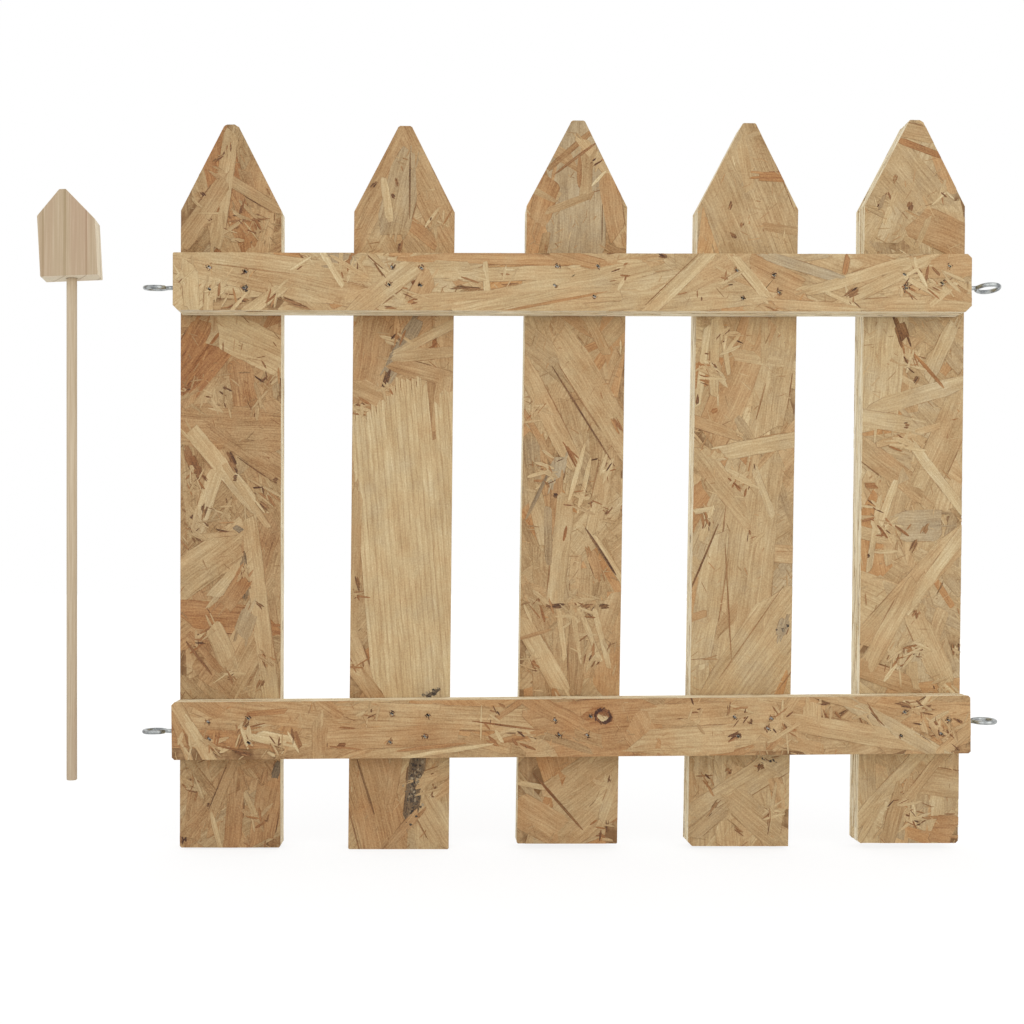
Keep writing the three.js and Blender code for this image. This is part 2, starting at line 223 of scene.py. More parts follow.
def strand_board_edge():
    """The sawn edge of strand board: cream end grain in thin layers, with brown glue lines and saw dust
    between them."""
    material, tree, shader = finish("strand_board_edge")
    grain = node(tree, "ShaderNodeAttribute", attribute_name="grain").outputs["Vector"]
    look = node(tree, "ShaderNodeAttribute", attribute_name="look").outputs["Vector"]
    rim = node(tree, "ShaderNodeAttribute", attribute_name="rim").outputs["Fac"]
    tone = node(tree, "ShaderNodeSeparateXYZ", {0: look}).outputs[0]
    place = node(tree, "ShaderNodeTexCoord").outputs["Object"]
    # Layers: streaks about 0.7 mm thick and 12 mm long
    layered = node(tree, "ShaderNodeVectorMath", {0: grain, 1: (0.08, 1.4, 1)},
                   operation="MULTIPLY").outputs[0]
    layers = node(tree, "ShaderNodeTexNoise", {"Vector": layered, "Scale": 1, "Detail": 3}).outputs[0]
    fuzz = node(tree, "ShaderNodeTexNoise", {"Vector": place, "Scale": 1100, "Detail": 2}).outputs[0]
    streak = node(tree, "ShaderNodeMapRange", {0: layers, 1: 0.25, 2: 0.75, 3: -0.22, 4: 0.22}).outputs[0]
    dust = node(tree, "ShaderNodeMapRange", {0: fuzz, 1: 0.3, 2: 0.7, 3: -0.1, 4: 0.1}).outputs[0]
    total = node(tree, "ShaderNodeMath", {0: tone, 1: streak}, operation="ADD").outputs[0]
    total = node(tree, "ShaderNodeMath", {0: total, 1: dust}, operation="ADD").outputs[0]
    wood = node(tree, "ShaderNodeValToRGB", {0: total}, stops=[
        (0.0, "#6a4a2c"), (1.0, "#fbf3dc"), (0.2, "#b3926a"), (0.45, "#dfcba2"), (0.7, "#f1e4c4"),
    ]).outputs[0]
    dark = node(tree, "ShaderNodeMath", {0: rim, 1: 0.35}, operation="MULTIPLY").outputs[0]
    wood = node(tree, "ShaderNodeMix", {0: dark, 6: wood, 7: "#8a6740"}, data_type="RGBA").outputs[2]
    height = node(tree, "ShaderNodeMath", {0: layers, 1: fuzz}, operation="ADD").outputs[0]
    bump = node(tree, "ShaderNodeBump", {
        "Strength": 0.4, "Distance": 0.2 * MM, "Height": height,
    }).outputs[0]
    feed(tree, shader, {"Base Color": wood, "Normal": bump, "Roughness": 0.9, "IOR": WOOD_IOR})
    return material


def nail_steel():
    """Drawn steel wire, as on the heads of brads: dark brown patches that are oxide and painted shade of the
    hole at once, and pale specks that are painted glints.
    """
    material, tree, shader = finish("brad_nail_steel")
    place = node(tree, "ShaderNodeTexCoord").outputs["Object"]
    # dark patches: oxide and painted shade in the hole; pale specks about 0.8 mm across: painted glints
    oxide_shade_and_glint = node(tree, "ShaderNodeTexNoise", {"Vector": place, "Scale": 1300, "Detail": 2}).outputs[0]
    colour = node(tree, "ShaderNodeValToRGB", {0: oxide_shade_and_glint}, stops=[
        (0.44, "#2a211b"), (0.6, "#a5a19b"),
    ]).outputs[0]
    feed(tree, shader, {"Base Color": colour, "Metallic": 1.0, "Roughness": 0.45})
    return material


def zinc_plate():
    """Bright zinc-plated steel wire: a cold grey metal, with darker and paler patches painted into its colour
    as reflections, and its gloss varying with them.
    """
    material, tree, shader = finish("zinc_plated_steel")
    place = node(tree, "ShaderNodeTexCoord").outputs["Object"]
    # painted reflections: darker and paler patches about 3 mm across, in the metal's colour
    reflection_patches = node(tree, "ShaderNodeTexNoise", {"Vector": place, "Scale": 350, "Detail": 3}).outputs[0]
    colour = node(tree, "ShaderNodeValToRGB", {0: reflection_patches}, stops=[
        (0.35, "#75787a"), (0.65, "#b9bcba"),
    ]).outputs[0]
    rough = node(tree, "ShaderNodeMapRange", {0: reflection_patches, 1: 0.3, 2: 0.7, 3: 0.18, 4: 0.4}).outputs[0]
    feed(tree, shader, {"Base Color": colour, "Metallic": 1.0, "Roughness": rough})
    return material


def pine(name, lighter):
    """Pine, unfinished: a thin brown line at each growth ring and fine fibres along the length. Dry and matt.
    lighter is how much paler it is than wood that has aged."""
    material, tree, shader = finish(name)
    grain = node(tree, "ShaderNodeAttribute", attribute_name="grain").outputs["Vector"]
    # Rings of the tree, seen end-on from above and as lines 9 mm apart on the faces
    bowed = node(tree, "ShaderNodeVectorMath", {0: grain, 1: (1, 1, 0.01)},
                 operation="MULTIPLY").outputs[0]
    growth = node(tree, "ShaderNodeTexWave", {
        "Vector": bowed, "Scale": 0.035, "Distortion": 1.2, "Detail": 1, "Detail Scale": 0.6,
    }, wave_type="RINGS", rings_direction="Z", wave_profile="SAW").outputs["Fac"]
    # Fibres 0.6 mm wide and 40 mm long
    thin = node(tree, "ShaderNodeVectorMath", {0: grain, 1: (1.6, 1.6, 0.025)},
                operation="MULTIPLY").outputs[0]
    fibre = node(tree, "ShaderNodeTexNoise", {
        "Vector": thin, "Scale": 1, "Detail": 3, "Roughness": 0.6,
    }).outputs[0]
    # Sapwood and heartwood: a slow change of hue across the piece
    slow = node(tree, "ShaderNodeVectorMath", {0: grain, 1: (0.09, 0.09, 0.004)},
                operation="MULTIPLY").outputs[0]
    heart = node(tree, "ShaderNodeTexNoise", {"Vector": slow, "Scale": 1, "Detail": 1}).outputs[0]
    line = node(tree, "ShaderNodeMapRange", {
        0: growth, 1: 0.86, 2: 1.0, 3: 0.6 + lighter, 4: 0.36 + lighter,
    }).outputs[0]
    streak = node(tree, "ShaderNodeMapRange", {0: fibre, 1: 0.3, 2: 0.7, 3: -0.07, 4: 0.07}).outputs[0]
    total = node(tree, "ShaderNodeMath", {0: line, 1: streak}, operation="ADD").outputs[0]
    sap = node(tree, "ShaderNodeValToRGB", {0: total}, stops=[
        (0.0, "#7a6448"), (1.0, "#f2e6cc"), (0.35, "#9d8866"), (0.6, "#b49f82"),
    ]).outputs[0]
    red = node(tree, "ShaderNodeValToRGB", {0: total}, stops=[
        (0.0, "#7a5138"), (1.0, "#f2e2c8"), (0.35, "#a3826a"), (0.6, "#b3987e"),
    ]).outputs[0]
    warm = node(tree, "ShaderNodeMapRange", {0: heart, 1: 0.42, 2: 0.6, 3: 0.0, 4: 0.8}).outputs[0]
    wood = node(tree, "ShaderNodeMix", {0: warm, 6: sap, 7: red}, data_type="RGBA").outputs[2]
    bump = node(tree, "ShaderNodeBump", {
        "Strength": 0.25, "Distance": 0.1 * MM, "Height": fibre,
    }).outputs[0]
    feed(tree, shader, {"Base Color": wood, "Normal": bump, "Roughness": 0.75, "IOR": WOOD_IOR})
    return material


FACE = strand_board_face()
EDGE = strand_board_edge()
PLANED_PINE = pine("planed_pine", 0.0)
TURNED_PINE = pine("turned_pine", 0.07)
SAWN_PINE = pine("sawn_pine", 0.3)
ZINC = zinc_plate()
FACE_SLOT, EDGE_SLOT = 0, 1


# Strand board

BED_DEPTH = 0.6 * MM  # from a board's face down to its core
EDGE_DEPTH = 0.35 * MM  # the same from a sawn edge
FACE_STRAND = 0.9  # thickness of the strands of a bed, in millimetres
EDGE_STRAND = 0.6
TRIM = 0.07 * MM  # how far inside the board's outline the strands are cut
HOLE_TEAR = 0.25  # how far the edge of a nail hole strays inwards, as a share of its size
EDGE_TUCK = 0.56 * MM  # how far the strands of a sawn edge lie below the beds of the front and back
STRAY = 0.06 * MM  # how far the cut ends of neighbouring strands stray from one plane
TOP_SHADE = 0.16  # how much darker a sawn edge is painted where it faces up: painted shade for the lesser light from above
GROUND_DEPTH = 0.54  # millimetres below a face, of the one flake that closes any gap between the others
LEAST_DEPTH = (0.05, 0.08)  # of a strand below the board's face, in millimetres: no two lie in one plane
FLAT = 1e-6  # how far off a plane a point may lie and still be on it
PARALLEL = 0.9999  # the cosine between two normals that count as one
LOG = (900, 900, 90)  # the block of wood that the strands are flaked from, in millimetres
SLIVER = 3  # a strand narrower than this, in millimetres, comes to a point
POINTED = 0.85  # the least roundness of such a strand
CRACK_LENGTH = 20  # a sliver shorter than this, in millimetres, and darker than CRACK_TONE is a crack, drawn as dark slivers: painted shade
CRACK_TONE = 0.3
FRAYED = 4  # a listed strand wider than this, in millimetres, has loose fibres at its ends and a painted shadow under one side
TILT = 0.2  # the most degrees by which a strand lies out of level
LEVEL = 30  # a strand wider than this, in millimetres, lies more nearly level, to keep its sides in the bed
CRUMB_SPACING = 6  # millimetres between the loose fibres on a face
NEST_AREA = 1400  # square millimetres of a back to one nest of slivers
PICKET_LIE = (90, 38)  # the way that most strands of a picket lie, in degrees, and how far they stray from it
RAIL_LIE = (0, 22)
MOULD_TONES = (-0.05, 0, 0, 0.05, 0.1, 0.2, 0.35, 0.5)  # black specks, and the grey bloom round them
SCAR_TONES = (0.03, 0.12, 0.25, 0.4)  # of the fibres torn by a nail
PRESS_LOAD = 1500  # points laid before a bed is pressed: a small mesh is much quicker to work on

# The tone and hue of each board as a whole. Tone runs from 0, dark, to 1, pale. Hue runs from -1, weathered
# grey, through 0, straw, to 1, russet heartwood.
BOARD_LOOK = {
    "picket_1": (0.43, 0.22),
    "picket_2": (0.51, 0.2),
    "picket_3": (0.5, 0.12),
    "picket_4": (0.57, 0.02),
    "picket_5": (0.58, -0.02),
    "rail_upper": (0.6, 0.1),
    "rail_lower": (0.53, 0.35),
}

# The strands that give each front its pattern, in millimetres and degrees: across from the board's middle, up
# from a picket's foot or a rail's middle, length, width, angle from level, tone, hue, and how strongly the
# growth rings show
LAID = {
    "picket_1": [
        (-24, 250, 42, 12, 62, 0.39, 0.9, 0.2), (-17, 243, 36, 15, 50, 0.37, 1, 0.2),
        (16, 255, 52, 20, -25, 0.61, 0.1, 0.3), (4, 215, 62, 22, -3, 0.45, 0.4, 0.5),
        (14, 201, 50, 14, -35, 0.43, 0.35, 0.3), (-4, 194, 52, 9, -50, 0.64, 0, 0.2),
        (1, 197, 12, 2.4, -58, 0.06, 0.5, 0), (-19, 196, 13, 5, -65, 0.26, 0.7, 0),
        (-12, 178, 34, 8, 72, 0.61, 0, 0.3), (-13.5, 172, 9, 2, 75, 0.1, 0.4, 0),
        (-19.5, 169, 2, 1.6, 0, 0, 0, 0), (23, 188, 3, 1.6, -20, 0, 0.2, 0),
        (2.5, 189, 2.4, 2, 10, 0.02, 0.2, 0), (17, 175, 6, 1.6, -40, 0.1, 0.3, 0),
        (8, 180, 40, 4, -55, 0.56, 0.2, 0), (16, 115, 112, 9, -83, 0.59, 0.08, 0.3),
        (-12, 146, 56, 20, 37, 0.55, 0.1, 0.4), (0, 138, 29, 7, 48, 0.61, 0, 0.2),
        (7, 139, 16, 5, 100, 0.28, -0.5, 0), (2, 131, 20, 10, 55, 0.42, 0.7, 0),
        (-4, 118, 50, 16, -5, 0.4, 0.95, 0.3), (8, 115, 15, 9, 70, 0.47, -0.2, 0),
        (15, 124, 6, 1.2, -45, 0.05, 0.2, 0), (17.5, 98, 12, 2, 100, 0.16, 0.4, 0),
        (-13, 100, 26, 4, -50, 0.39, 0.6, 0), (-16, 97, 22, 1.4, -52, 0.2, 0.6, 0),
        (-5, 104, 22, 10, -65, 0.55, 0.1, 0.2), (6, 98, 26, 20, 60, 0.51, 0.2, 0.4),
        (0.5, 88, 8, 2, -65, 0.1, 0.2, 0), (15.5, 84.5, 6, 2, 60, 0.12, 0.2, 0),
        (-8, 160, 22, 3, 5, 0.51, 0.2, 0), (-5, 162, 8, 1, 0, 0.06, 0.3, 0),
        (4, 163, 5, 3, -30, 0.27, -0.8, 0), (10.5, 22, 15, 3, -65, 0.58, 0, 0),
        (-7, 8, 22, 2.5, -75, 0.59, 0, 0), (-11, 22, 1.6, 1.4, 0, 0, 0, 0),
        (-24.5, 4, 4, 2.5, 80, 0.02, 0, 0), (24, 40, 9, 4, 70, 0.2, -0.8, 0),
        (18, 18, 34, 14, 80, 0.43, 0.5, 0.3), (-4, 30, 40, 5, 68, 0.45, 0.3, 0.2),
        (2, 15, 30, 9, 85, 0.42, 0.5, 0.2), (6, 328, 9, 1.6, 80, 0.12, 0.9, 0),
        (-4, 336, 60, 8, 82, 0.53, 0.1, 0.2), (10, 335, 40, 6, -30, 0.47, 0.2, 0.2),
        (-14, 325, 44, 10, 55, 0.47, 0.2, 0.3), (9, 321, 22, 1.2, 4, 0.25, 0.6, 0),
        (-7, 352, 9, 1, 35, 0.12, 0.4, 0), (-14, 334, 4, 1, -40, 0.02, 0, 0),
    ],
    "picket_2": [
        (17, 222, 36, 8, 93, 0.4, 0.35, 0), (-13, 338, 90, 14, 62, 0.49, 0.4, 0.4),
        (14, 333, 90, 16, -62, 0.52, 0.4, 0.4), (-2, 334, 42, 17, 76, 0.51, -0.25, 0.3),
        (-9, 332, 23, 4, -81, 0.66, 0, 0), (2.6, 340, 36, 0.8, 90, 0.2, 0.3, 0),
        (-16, 339.5, 6, 1.2, 50, 0.08, 0.2, 0), (-6, 334.5, 3, 1.4, -60, 0, 0, 0),
        (-4, 341, 6, 1, -70, 0.15, 0.2, 0), (-2, 309, 8, 1.6, 75, 0.12, -0.3, 0),
        (-17, 250, 48, 20, 80, 0.45, 0.5, 0.4), (0, 257, 30, 8, 62, 0.39, -0.6, 0.3),
        (-7.5, 244, 16, 3, 75, 0.04, 0.6, 0), (13, 244, 46, 8, -14, 0.48, 0.35, 0.3),
        (15, 254, 42, 6, 6, 0.53, 0.05, 0.2), (14, 263, 38, 5, 28, 0.55, 0, 0.2),
        (-14, 232, 30, 10, -25, 0.52, 0.35, 0.3), (20, 228, 26, 9, 85, 0.54, 0.3, 0.2),
        (-24, 140, 90, 6, 88, 0.53, 0.2, 0.3), (-23, 105, 46, 7, -70, 0.56, 0.2, 0.3),
        (-20, 88, 40, 8, -52, 0.51, 0.3, 0.2), (-22, 136, 10, 1.2, -75, 0.08, 0.4, 0),
        (-13, 22, 62, 25, -75, 0.49, 0.5, 0.5), (7.8, 33, 36, 9, 83, 0.16, -0.6, 0),
        (20, 13, 34, 16, -60, 0.57, 0.1, 0.3), (2, 10, 24, 5, 50, 0.42, 0.4, 0),
        (17, 28, 1.8, 1.6, 0, 0, 0, 0), (18, 38, 20, 8, 20, 0.57, 0.2, 0.2),
        (-3, 36, 26, 6, 80, 0.49, 0.4, 0.3), (-17, 32, 30, 1.2, -72, 0.2, 0.4, 0),
        (17, 80, 9, 3, 30, 0.14, -0.6, 0),
    ],
    "picket_3": [
        (-1, 330, 76, 34, 88, 0.53, -0.45, 0), (-17, 330, 26, 12, 75, 0.49, 0.6, 0.2),
        (18, 327, 34, 10, 100, 0.51, 0.55, 0.2), (-4, 355, 30, 3, 42, 0.42, 0.4, 0),
        (-1, 351, 28, 1.5, 38, 0.28, 0.5, 0), (9, 352, 24, 6, -50, 0.66, 0.1, 0.2),
        (11, 341, 11, 1.6, 48, 0.76, 0, 0), (1, 344, 16, 2.5, 90, 0.4, 0.6, 0),
        (13, 318, 20, 0.5, 90, 0.2, 0.2, 0), (14, 226, 80, 16, -57, 0.58, 0.15, 0.4),
        (5, 219, 62, 0.9, -57, 0.14, 0.4, 0), (-14, 222, 66, 10, -62, 0.58, 0.2, 0.3),
        (-16, 205, 40, 3, -60, 0.45, 0.5, 0), (-1.5, 201, 17, 1.8, -62, 0.26, 0.9, 0),
        (21, 217, 14, 2, -58, 0.28, 0.9, 0), (2, 190, 32, 2.5, 75, 0.69, 0.1, 0),
        (6, 184, 30, 2.5, 78, 0.67, 0.1, 0), (-8, 191, 14, 8, 80, 0.5, -0.6, 0),
        (-8, 175, 26, 6, 88, 0.47, 0.6, 0), (-9, 178.5, 3, 1.6, -40, 0, 0, 0),
        (-18, 178, 28, 2, 65, 0.33, -0.5, 0), (14, 178, 40, 8, 80, 0.6, 0.1, 0.2),
        (15, 150, 30, 1.4, -56, 0.1, 0.4, 0), (19, 146, 30, 4, -56, 0.69, 0.1, 0),
        (-3.5, 159, 8, 1.6, 80, 0.33, 1, 0), (12, 144, 13, 5, -70, 0.48, 0.7, 0),
        (-12, 158, 30, 4, 92, 0.43, -0.2, 0), (-6, 150, 60, 9, 85, 0.58, 0.05, 0.2),
        (-8, 122, 10, 1.6, 0, 0.08, 0.2, 0), (8, 122, 8, 1.6, 12, 0.1, 0, 0),
        (17, 122, 6, 1.8, 0, 0.05, 0, 0), (-5, 112, 36, 3, -82, 0.67, 0.2, 0),
        (3, 108, 32, 2.5, -80, 0.64, 0.1, 0), (9, 110, 36, 3, -68, 0.67, 0.1, 0),
        (16, 106, 32, 3, -75, 0.67, 0.1, 0), (3, 96, 36, 8, 90, 0.43, 0.2, 0),
        (-19, 107, 20, 2, 18, 0.41, 0.4, 0), (-14, 96, 44, 10, -60, 0.64, 0.1, 0.3),
        (8, 24, 46, 36, 40, 0.55, 0.15, 0.3), (-5, 22, 40, 1.5, -48, 0.22, 0.7, 0),
        (-16, 13, 34, 17, -30, 0.53, 0.5, 0.3), (-18, 30, 16, 3, -10, 0.67, 0, 0),
        (17, 6, 8, 0.8, 80, 0.06, 0.3, 0), (20, 8, 9, 0.8, 80, 0.08, 0.3, 0),
        (21, 24, 26, 5, 70, 0.58, 0, 0.1),
    ],
    "picket_4": [
        (-3, 333, 96, 44, -68, 0.53, 0, 0.7), (12, 343, 15, 5, -2, 0.47, 1, 0),
        (-9, 328, 5, 1, 80, 0.14, 0.2, 0), (-7.5, 313, 5, 1.8, -55, 0.08, 0.1, 0),
        (-3, 318, 3, 1, 80, 0.1, 0.1, 0), (-5, 240, 76, 20, 68, 0.52, 0.43, 0.3),
        (-16, 250, 42, 5, 90, 0.71, -0.12, 0), (-22, 246, 42, 4, 84, 0.73, -0.12, 0),
        (-11, 256, 30, 3, 100, 0.66, -0.02, 0), (-24.5, 228, 7, 1.2, 75, 0.03, 0.1, 0),
        (-16, 246, 5, 1, -60, 0.05, 0.1, 0), (15, 243, 64, 18, 82, 0.58, 0, 0.4),
        (-8, 254, 12, 1.6, 24, 0.68, -0.12, 0), (8, 228, 20, 0.8, 76, 0.37, 0.38, 0),
        (10, 206, 44, 8, 12, 0.68, -0.07, 0.1), (-15.5, 223, 4, 2.6, 30, 0.41, 0.9, 0),
        (-18, 215, 30, 6, -18, 0.55, 0.28, 0), (-3, 190, 16, 2.5, -28, 0.7, -0.12, 0),
        (2, 186, 16, 2, -24, 0.67, -0.02, 0), (10, 182, 28, 4, -68, 0.71, -0.12, 0),
        (-8, 182, 60, 12, -50, 0.57, 0.08, 0.4), (-20, 172, 12, 3, 10, 0.7, -0.12, 0),
        (2, 145, 96, 28, 84, 0.57, 0.03, 0.4), (-17, 125, 70, 13, 82, 0.61, -0.06, 0.3),
        (-20, 147, 40, 1.0, 68, 0.2, 0.5, 0), (-7, 125, 62, 0.8, -86, 0.37, 0.38, 0),
        (12, 100, 66, 34, 55, 0.59, -0.06, 0.6), (21, 113, 8, 6, 75, 0.46, -0.7, 0),
        (5, 110, 60, 0.6, 56, 0.37, 0.28, 0), (-18, 96, 16, 0.9, 8, 0.26, 0.2, 0),
        (-22, 118, 8, 4, 20, 0.52, 0.6, 0), (2, 32, 62, 14, 33, 0.57, -0.02, 0.3),
        (-13, 20, 13, 1.4, 55, 0.12, 0.2, 0), (17, 20, 28, 2, 82, 0.6, -0.02, 0),
        (1, 8, 9, 1.4, -38, 0.22, 0.3, 0), (-5, 39, 4, 2, 30, 0.14, 0.1, 0),
        (11, 41, 5, 2.4, 60, 0.12, 0.3, 0), (-17, 12, 24, 8, 40, 0.45, 0.08, 0),
        (8, 16, 34, 14, -40, 0.53, 0.08, 0.4), (16, 14, 14, 1, 88, 0.14, 0.2, 0),
    ],
    "picket_5": [
        (-4, 340, 44, 26, -50, 0.55, -0.05, 0.4), (2, 356, 24, 3.4, -20, 0.41, 0.9, 0),
        (0, 364, 18, 8, -10, 0.53, 0.2, 0.2), (-10.5, 340, 5, 1.5, 75, 0.18, 0.1, 0),
        (-2.5, 326, 5, 2, 80, 0.06, 0.1, 0), (-17, 328, 9, 2, 70, 0.41, -0.4, 0),
        (16, 312, 36, 18, -22, 0.51, 0.4, 0.3), (-16, 245, 66, 22, 85, 0.67, -0.08, 0.3),
        (-6, 262, 9, 6, 110, 0.2, 0.5, 0), (-3, 247, 8, 1.8, -60, 0.08, 0.1, 0),
        (8, 242, 24, 2, -48, 0.44, 1, 0), (2, 238, 6, 1.5, 65, 0.1, 0.2, 0),
        (14, 252, 32, 7, 66, 0.66, -0.08, 0.2), (2, 229, 56, 8, 17, 0.65, -0.08, 0.2),
        (-2, 209, 36, 4, 18, 0.61, 0.25, 0), (16, 205, 74, 16, 68, 0.58, 0.15, 0.3),
        (15, 185, 48, 5, -52, 0.73, -0.1, 0), (-12, 192, 44, 12, -38, 0.54, 0.3, 0.2),
        (-15, 216, 34, 9, -8, 0.66, -0.1, 0.2), (-3, 214, 3, 2, 10, 0.1, 0, 0),
        (-21, 183, 6, 3, 0, 0.4, 0.7, 0), (-13, 172, 30, 4, 70, 0.71, -0.1, 0),
        (4, 163, 22, 16, 0, 0.54, -0.4, 0.1), (7, 161, 6, 2, 60, 0.14, 0.2, 0),
        (2, 132, 86, 13, 48, 0.59, 0.18, 0.3), (14, 142, 54, 6, 55, 0.68, -0.05, 0),
        (-19, 158, 40, 3, 82, 0.69, -0.1, 0), (1, 152, 9, 1.5, 65, 0.1, 0.3, 0),
        (3, 118, 5, 2.4, 75, 0.16, 0.6, 0), (-22, 147, 2, 1.2, 0, 0, 0, 0),
        (-10, 112, 50, 9, 62, 0.61, 0.1, 0.2), (10, 100, 40, 12, -65, 0.61, 0.1, 0.3),
        (-14, 86, 34, 10, -18, 0.54, 0.4, 0.3), (-9, 30, 56, 7, 48, 0.62, -0.02, 0.1),
        (5, 30, 62, 5, 53, 0.57, 0.1, 0), (19, 8, 12, 15, 0, 0.47, 0.65, 0.1),
        (16, 32, 26, 14, -8, 0.53, 0.1, 0.3), (-19, 12, 26, 4, 62, 0.6, 0, 0),
        (-7, 15, 30, 8, 75, 0.53, 0.1, 0.2),
    ],
    "rail_upper": [
        (-165, 4, 96, 14, -13, 0.58, 0.15, 0.5), (-146, 9, 100, 9, -7, 0.61, 0.1, 0.4),
        (-128, -3, 92, 12, -12, 0.56, 0.18, 0.5), (-191, -3, 26, 8, 93, 0.67, 0.02, 0),
        (-182, -9, 16, 5, 86, 0.65, 0.02, 0), (-165, -9, 6, 1.2, -20, 0.08, 0.2, 0),
        (-139, -11, 18, 1.4, -16, 0.12, 0.4, 0), (-155, -10, 26, 6, 35, 0.65, 0, 0),
        (-116, 10, 11, 8, 0, 0.46, -0.5, 0), (-121, 8, 24, 3.5, -58, 0.78, 0, 0),
        (-111, 7, 24, 2.4, -32, 0.68, 0.2, 0), (-98, 8, 15, 1, -52, 0.1, 0.2, 0),
        (-97, 9, 14, 4, -50, 0.67, 0.1, 0), (-88, 1, 66, 11, 38, 0.6, 0.1, 0.4),
        (-98, -7, 50, 7, 36, 0.63, 0.05, 0.2), (-42, 11.5, 92, 6, -1, 0.55, 0.75, 0.7),
        (4, 11, 30, 6, -14, 0.55, 0.65, 0.4), (-77, -0.5, 7, 3.4, 10, 0.2, 1, 0),
        (-80, -10, 5, 1.6, 15, 0.26, 1, 0), (-91, -13, 6, 1, 0, 0.2, 0.9, 0),
        (-62, 6, 22, 9, 0, 0.67, 0.02, 0.1), (-76, -5, 20, 10, 60, 0.55, 0.4, 0),
        (-30, 4, 60, 7, 2, 0.63, 0.1, 0.3), (-43, 0.5, 19, 3.4, 94, 0.72, 0, 0),
        (-53, -3.2, 18, 1, -5, 0.1, 0.3, 0), (-32, -1.5, 11, 0.9, 8, 0.22, 0.6, 0),
        (-28, -8, 110, 10, 3, 0.63, 0.15, 0.6), (-10, -3, 104, 10, 12, 0.65, 0.04, 0.4),
        (28, -5, 104, 17, 7, 0.65, 0.02, 0.5), (-12, -10.5, 62, 1.6, 11, 0.5, 0.7, 0),
        (72, 6, 60, 12, 24, 0.58, 0.2, 0.4), (72, -7, 70, 12, 6, 0.61, 0.06, 0.3),
        (54, 0, 44, 6, 44, 0.69, 0.06, 0.2), (50.5, 2, 40, 0.5, 44, 0.33, 0.5, 0),
        (89, 3, 28, 5, -50, 0.7, 0.02, 0), (46, 13, 5, 1.5, -20, 0.06, 0.2, 0),
        (80, 2.5, 8, 1.4, 28, 0.16, 0.5, 0), (104, -3, 36, 22, -24, 0.55, 0.42, 0.3),
        (116, 7.5, 40, 5, -17, 0.56, -0.55, 0.3), (137, 9, 9, 3, 78, 0.44, 1, 0),
        (143, 3, 56, 6, 17, 0.67, 0.08, 0.3), (152, -2, 64, 6, 27, 0.65, 0.08, 0.3),
        (140, -5.5, 9, 2.6, 32, 0.04, 0.4, 0), (134, -8, 18, 2.4, -24, 0.75, 0, 0),
        (150, -11, 60, 6, 4, 0.61, 0.15, 0.3), (175, -2, 22, 3, -30, 0.73, 0, 0),
        (184, -7, 22, 3, 41, 0.72, 0.02, 0), (186, 9, 36, 12, 4, 0.58, 0.45, 0.2),
        (178, -12, 44, 6, 0, 0.61, 0.1, 0.2), (194, -5, 9, 5, -30, 0.5, 0.5, 0),
        (122, -12, 44, 5, -4, 0.6, 0.25, 0.2),
    ],
    "rail_lower": [
        (-128, 7, 124, 13, -6, 0.55, 0.46, 0.9), (-60, 6, 104, 13, -3, 0.58, 0.38, 0.9),
        (-92, -4, 70, 10, 2, 0.54, 0.46, 0.6), (-161, 1.5, 15, 1.4, 8, 0.24, 1, 0),
        (-190, 0, 40, 6, -60, 0.58, 0.36, 0.1), (-195, -4, 30, 4, -70, 0.52, 0.56, 0),
        (-184, -8, 30, 5, -58, 0.65, 0.16, 0), (-150, -4, 15, 6, -10, 0.7, 0.08, 0),
        (-139.5, -3, 9, 1.2, -85, 0.08, 0.4, 0), (-137, -5, 9, 3, -70, 0.32, 0.7, 0),
        (-139, -6, 12, 1.6, -62, 0.72, 0.06, 0), (-178, -5, 10, 2, 80, 0.26, 1, 0),
        (-164, -11.5, 13, 1.3, -15, 0.1, 0.8, 0), (-170, -9, 20, 1.0, -12, 0.32, 0.7, 0),
        (-126, -5, 20, 8, 88, 0.51, 0.46, 0), (-115, -8, 4, 3, 0, 0.24, 0.9, 0),
        (-113, -9, 16, 1, -6, 0.34, 0.9, 0), (-112, 1, 8, 1, -5, 0.34, 0.9, 0),
        (-152, 9, 20, 3, 4, 0.43, 0.9, 0), (-62, -11, 48, 2.2, 8, 0.72, 0.14, 0),
        (-70, -9, 36, 2, 6, 0.43, 0.8, 0), (-33, 1.5, 34, 1, -8, 0.26, 0.9, 0),
        (-40, -6, 11, 1.8, -37, 0.22, 0.9, 0), (-45, 3, 18, 1, 88, 0.72, 0.08, 0),
        (-36, -4, 8, 2, -60, 0.76, 0.06, 0), (-24, -4, 22, 3, 12, 0.45, 0.8, 0),
        (-30, 10, 20, 3, 35, 0.43, 0.8, 0), (-10, 9, 34, 9, -30, 0.49, 0.75, 0.2),
        (14, 0, 66, 29, 4, 0.49, 0.7, 0.3), (34, -2, 24, 16, -60, 0.51, 0.7, 0.2),
        (72, 7, 66, 12, 2, 0.59, 0.41, 0.3), (62, -6, 60, 13, 2, 0.63, 0.21, 0.4),
        (80.5, -5, 9, 2.2, 22, 0.06, 0.7, 0), (84, -4.5, 3, 1.6, -30, 0, 0.2, 0),
        (90, 2.5, 2.4, 1.8, -60, 0.06, 0.6, 0), (98, -1, 3, 1.8, -60, 0, 0, 0),
        (79, 9, 8, 0.8, 80, 0.16, 0.4, 0), (107, -3, 20, 2.4, 32, 0.65, 0.16, 0),
        (112, 0.5, 6, 0.9, 32, 0.1, 0.4, 0), (103, -7, 14, 3, 48, 0.43, 0.6, 0),
        (121, 5, 12, 9, 88, 0.67, 0.11, 0), (107, 7, 20, 6, 55, 0.61, 0.26, 0),
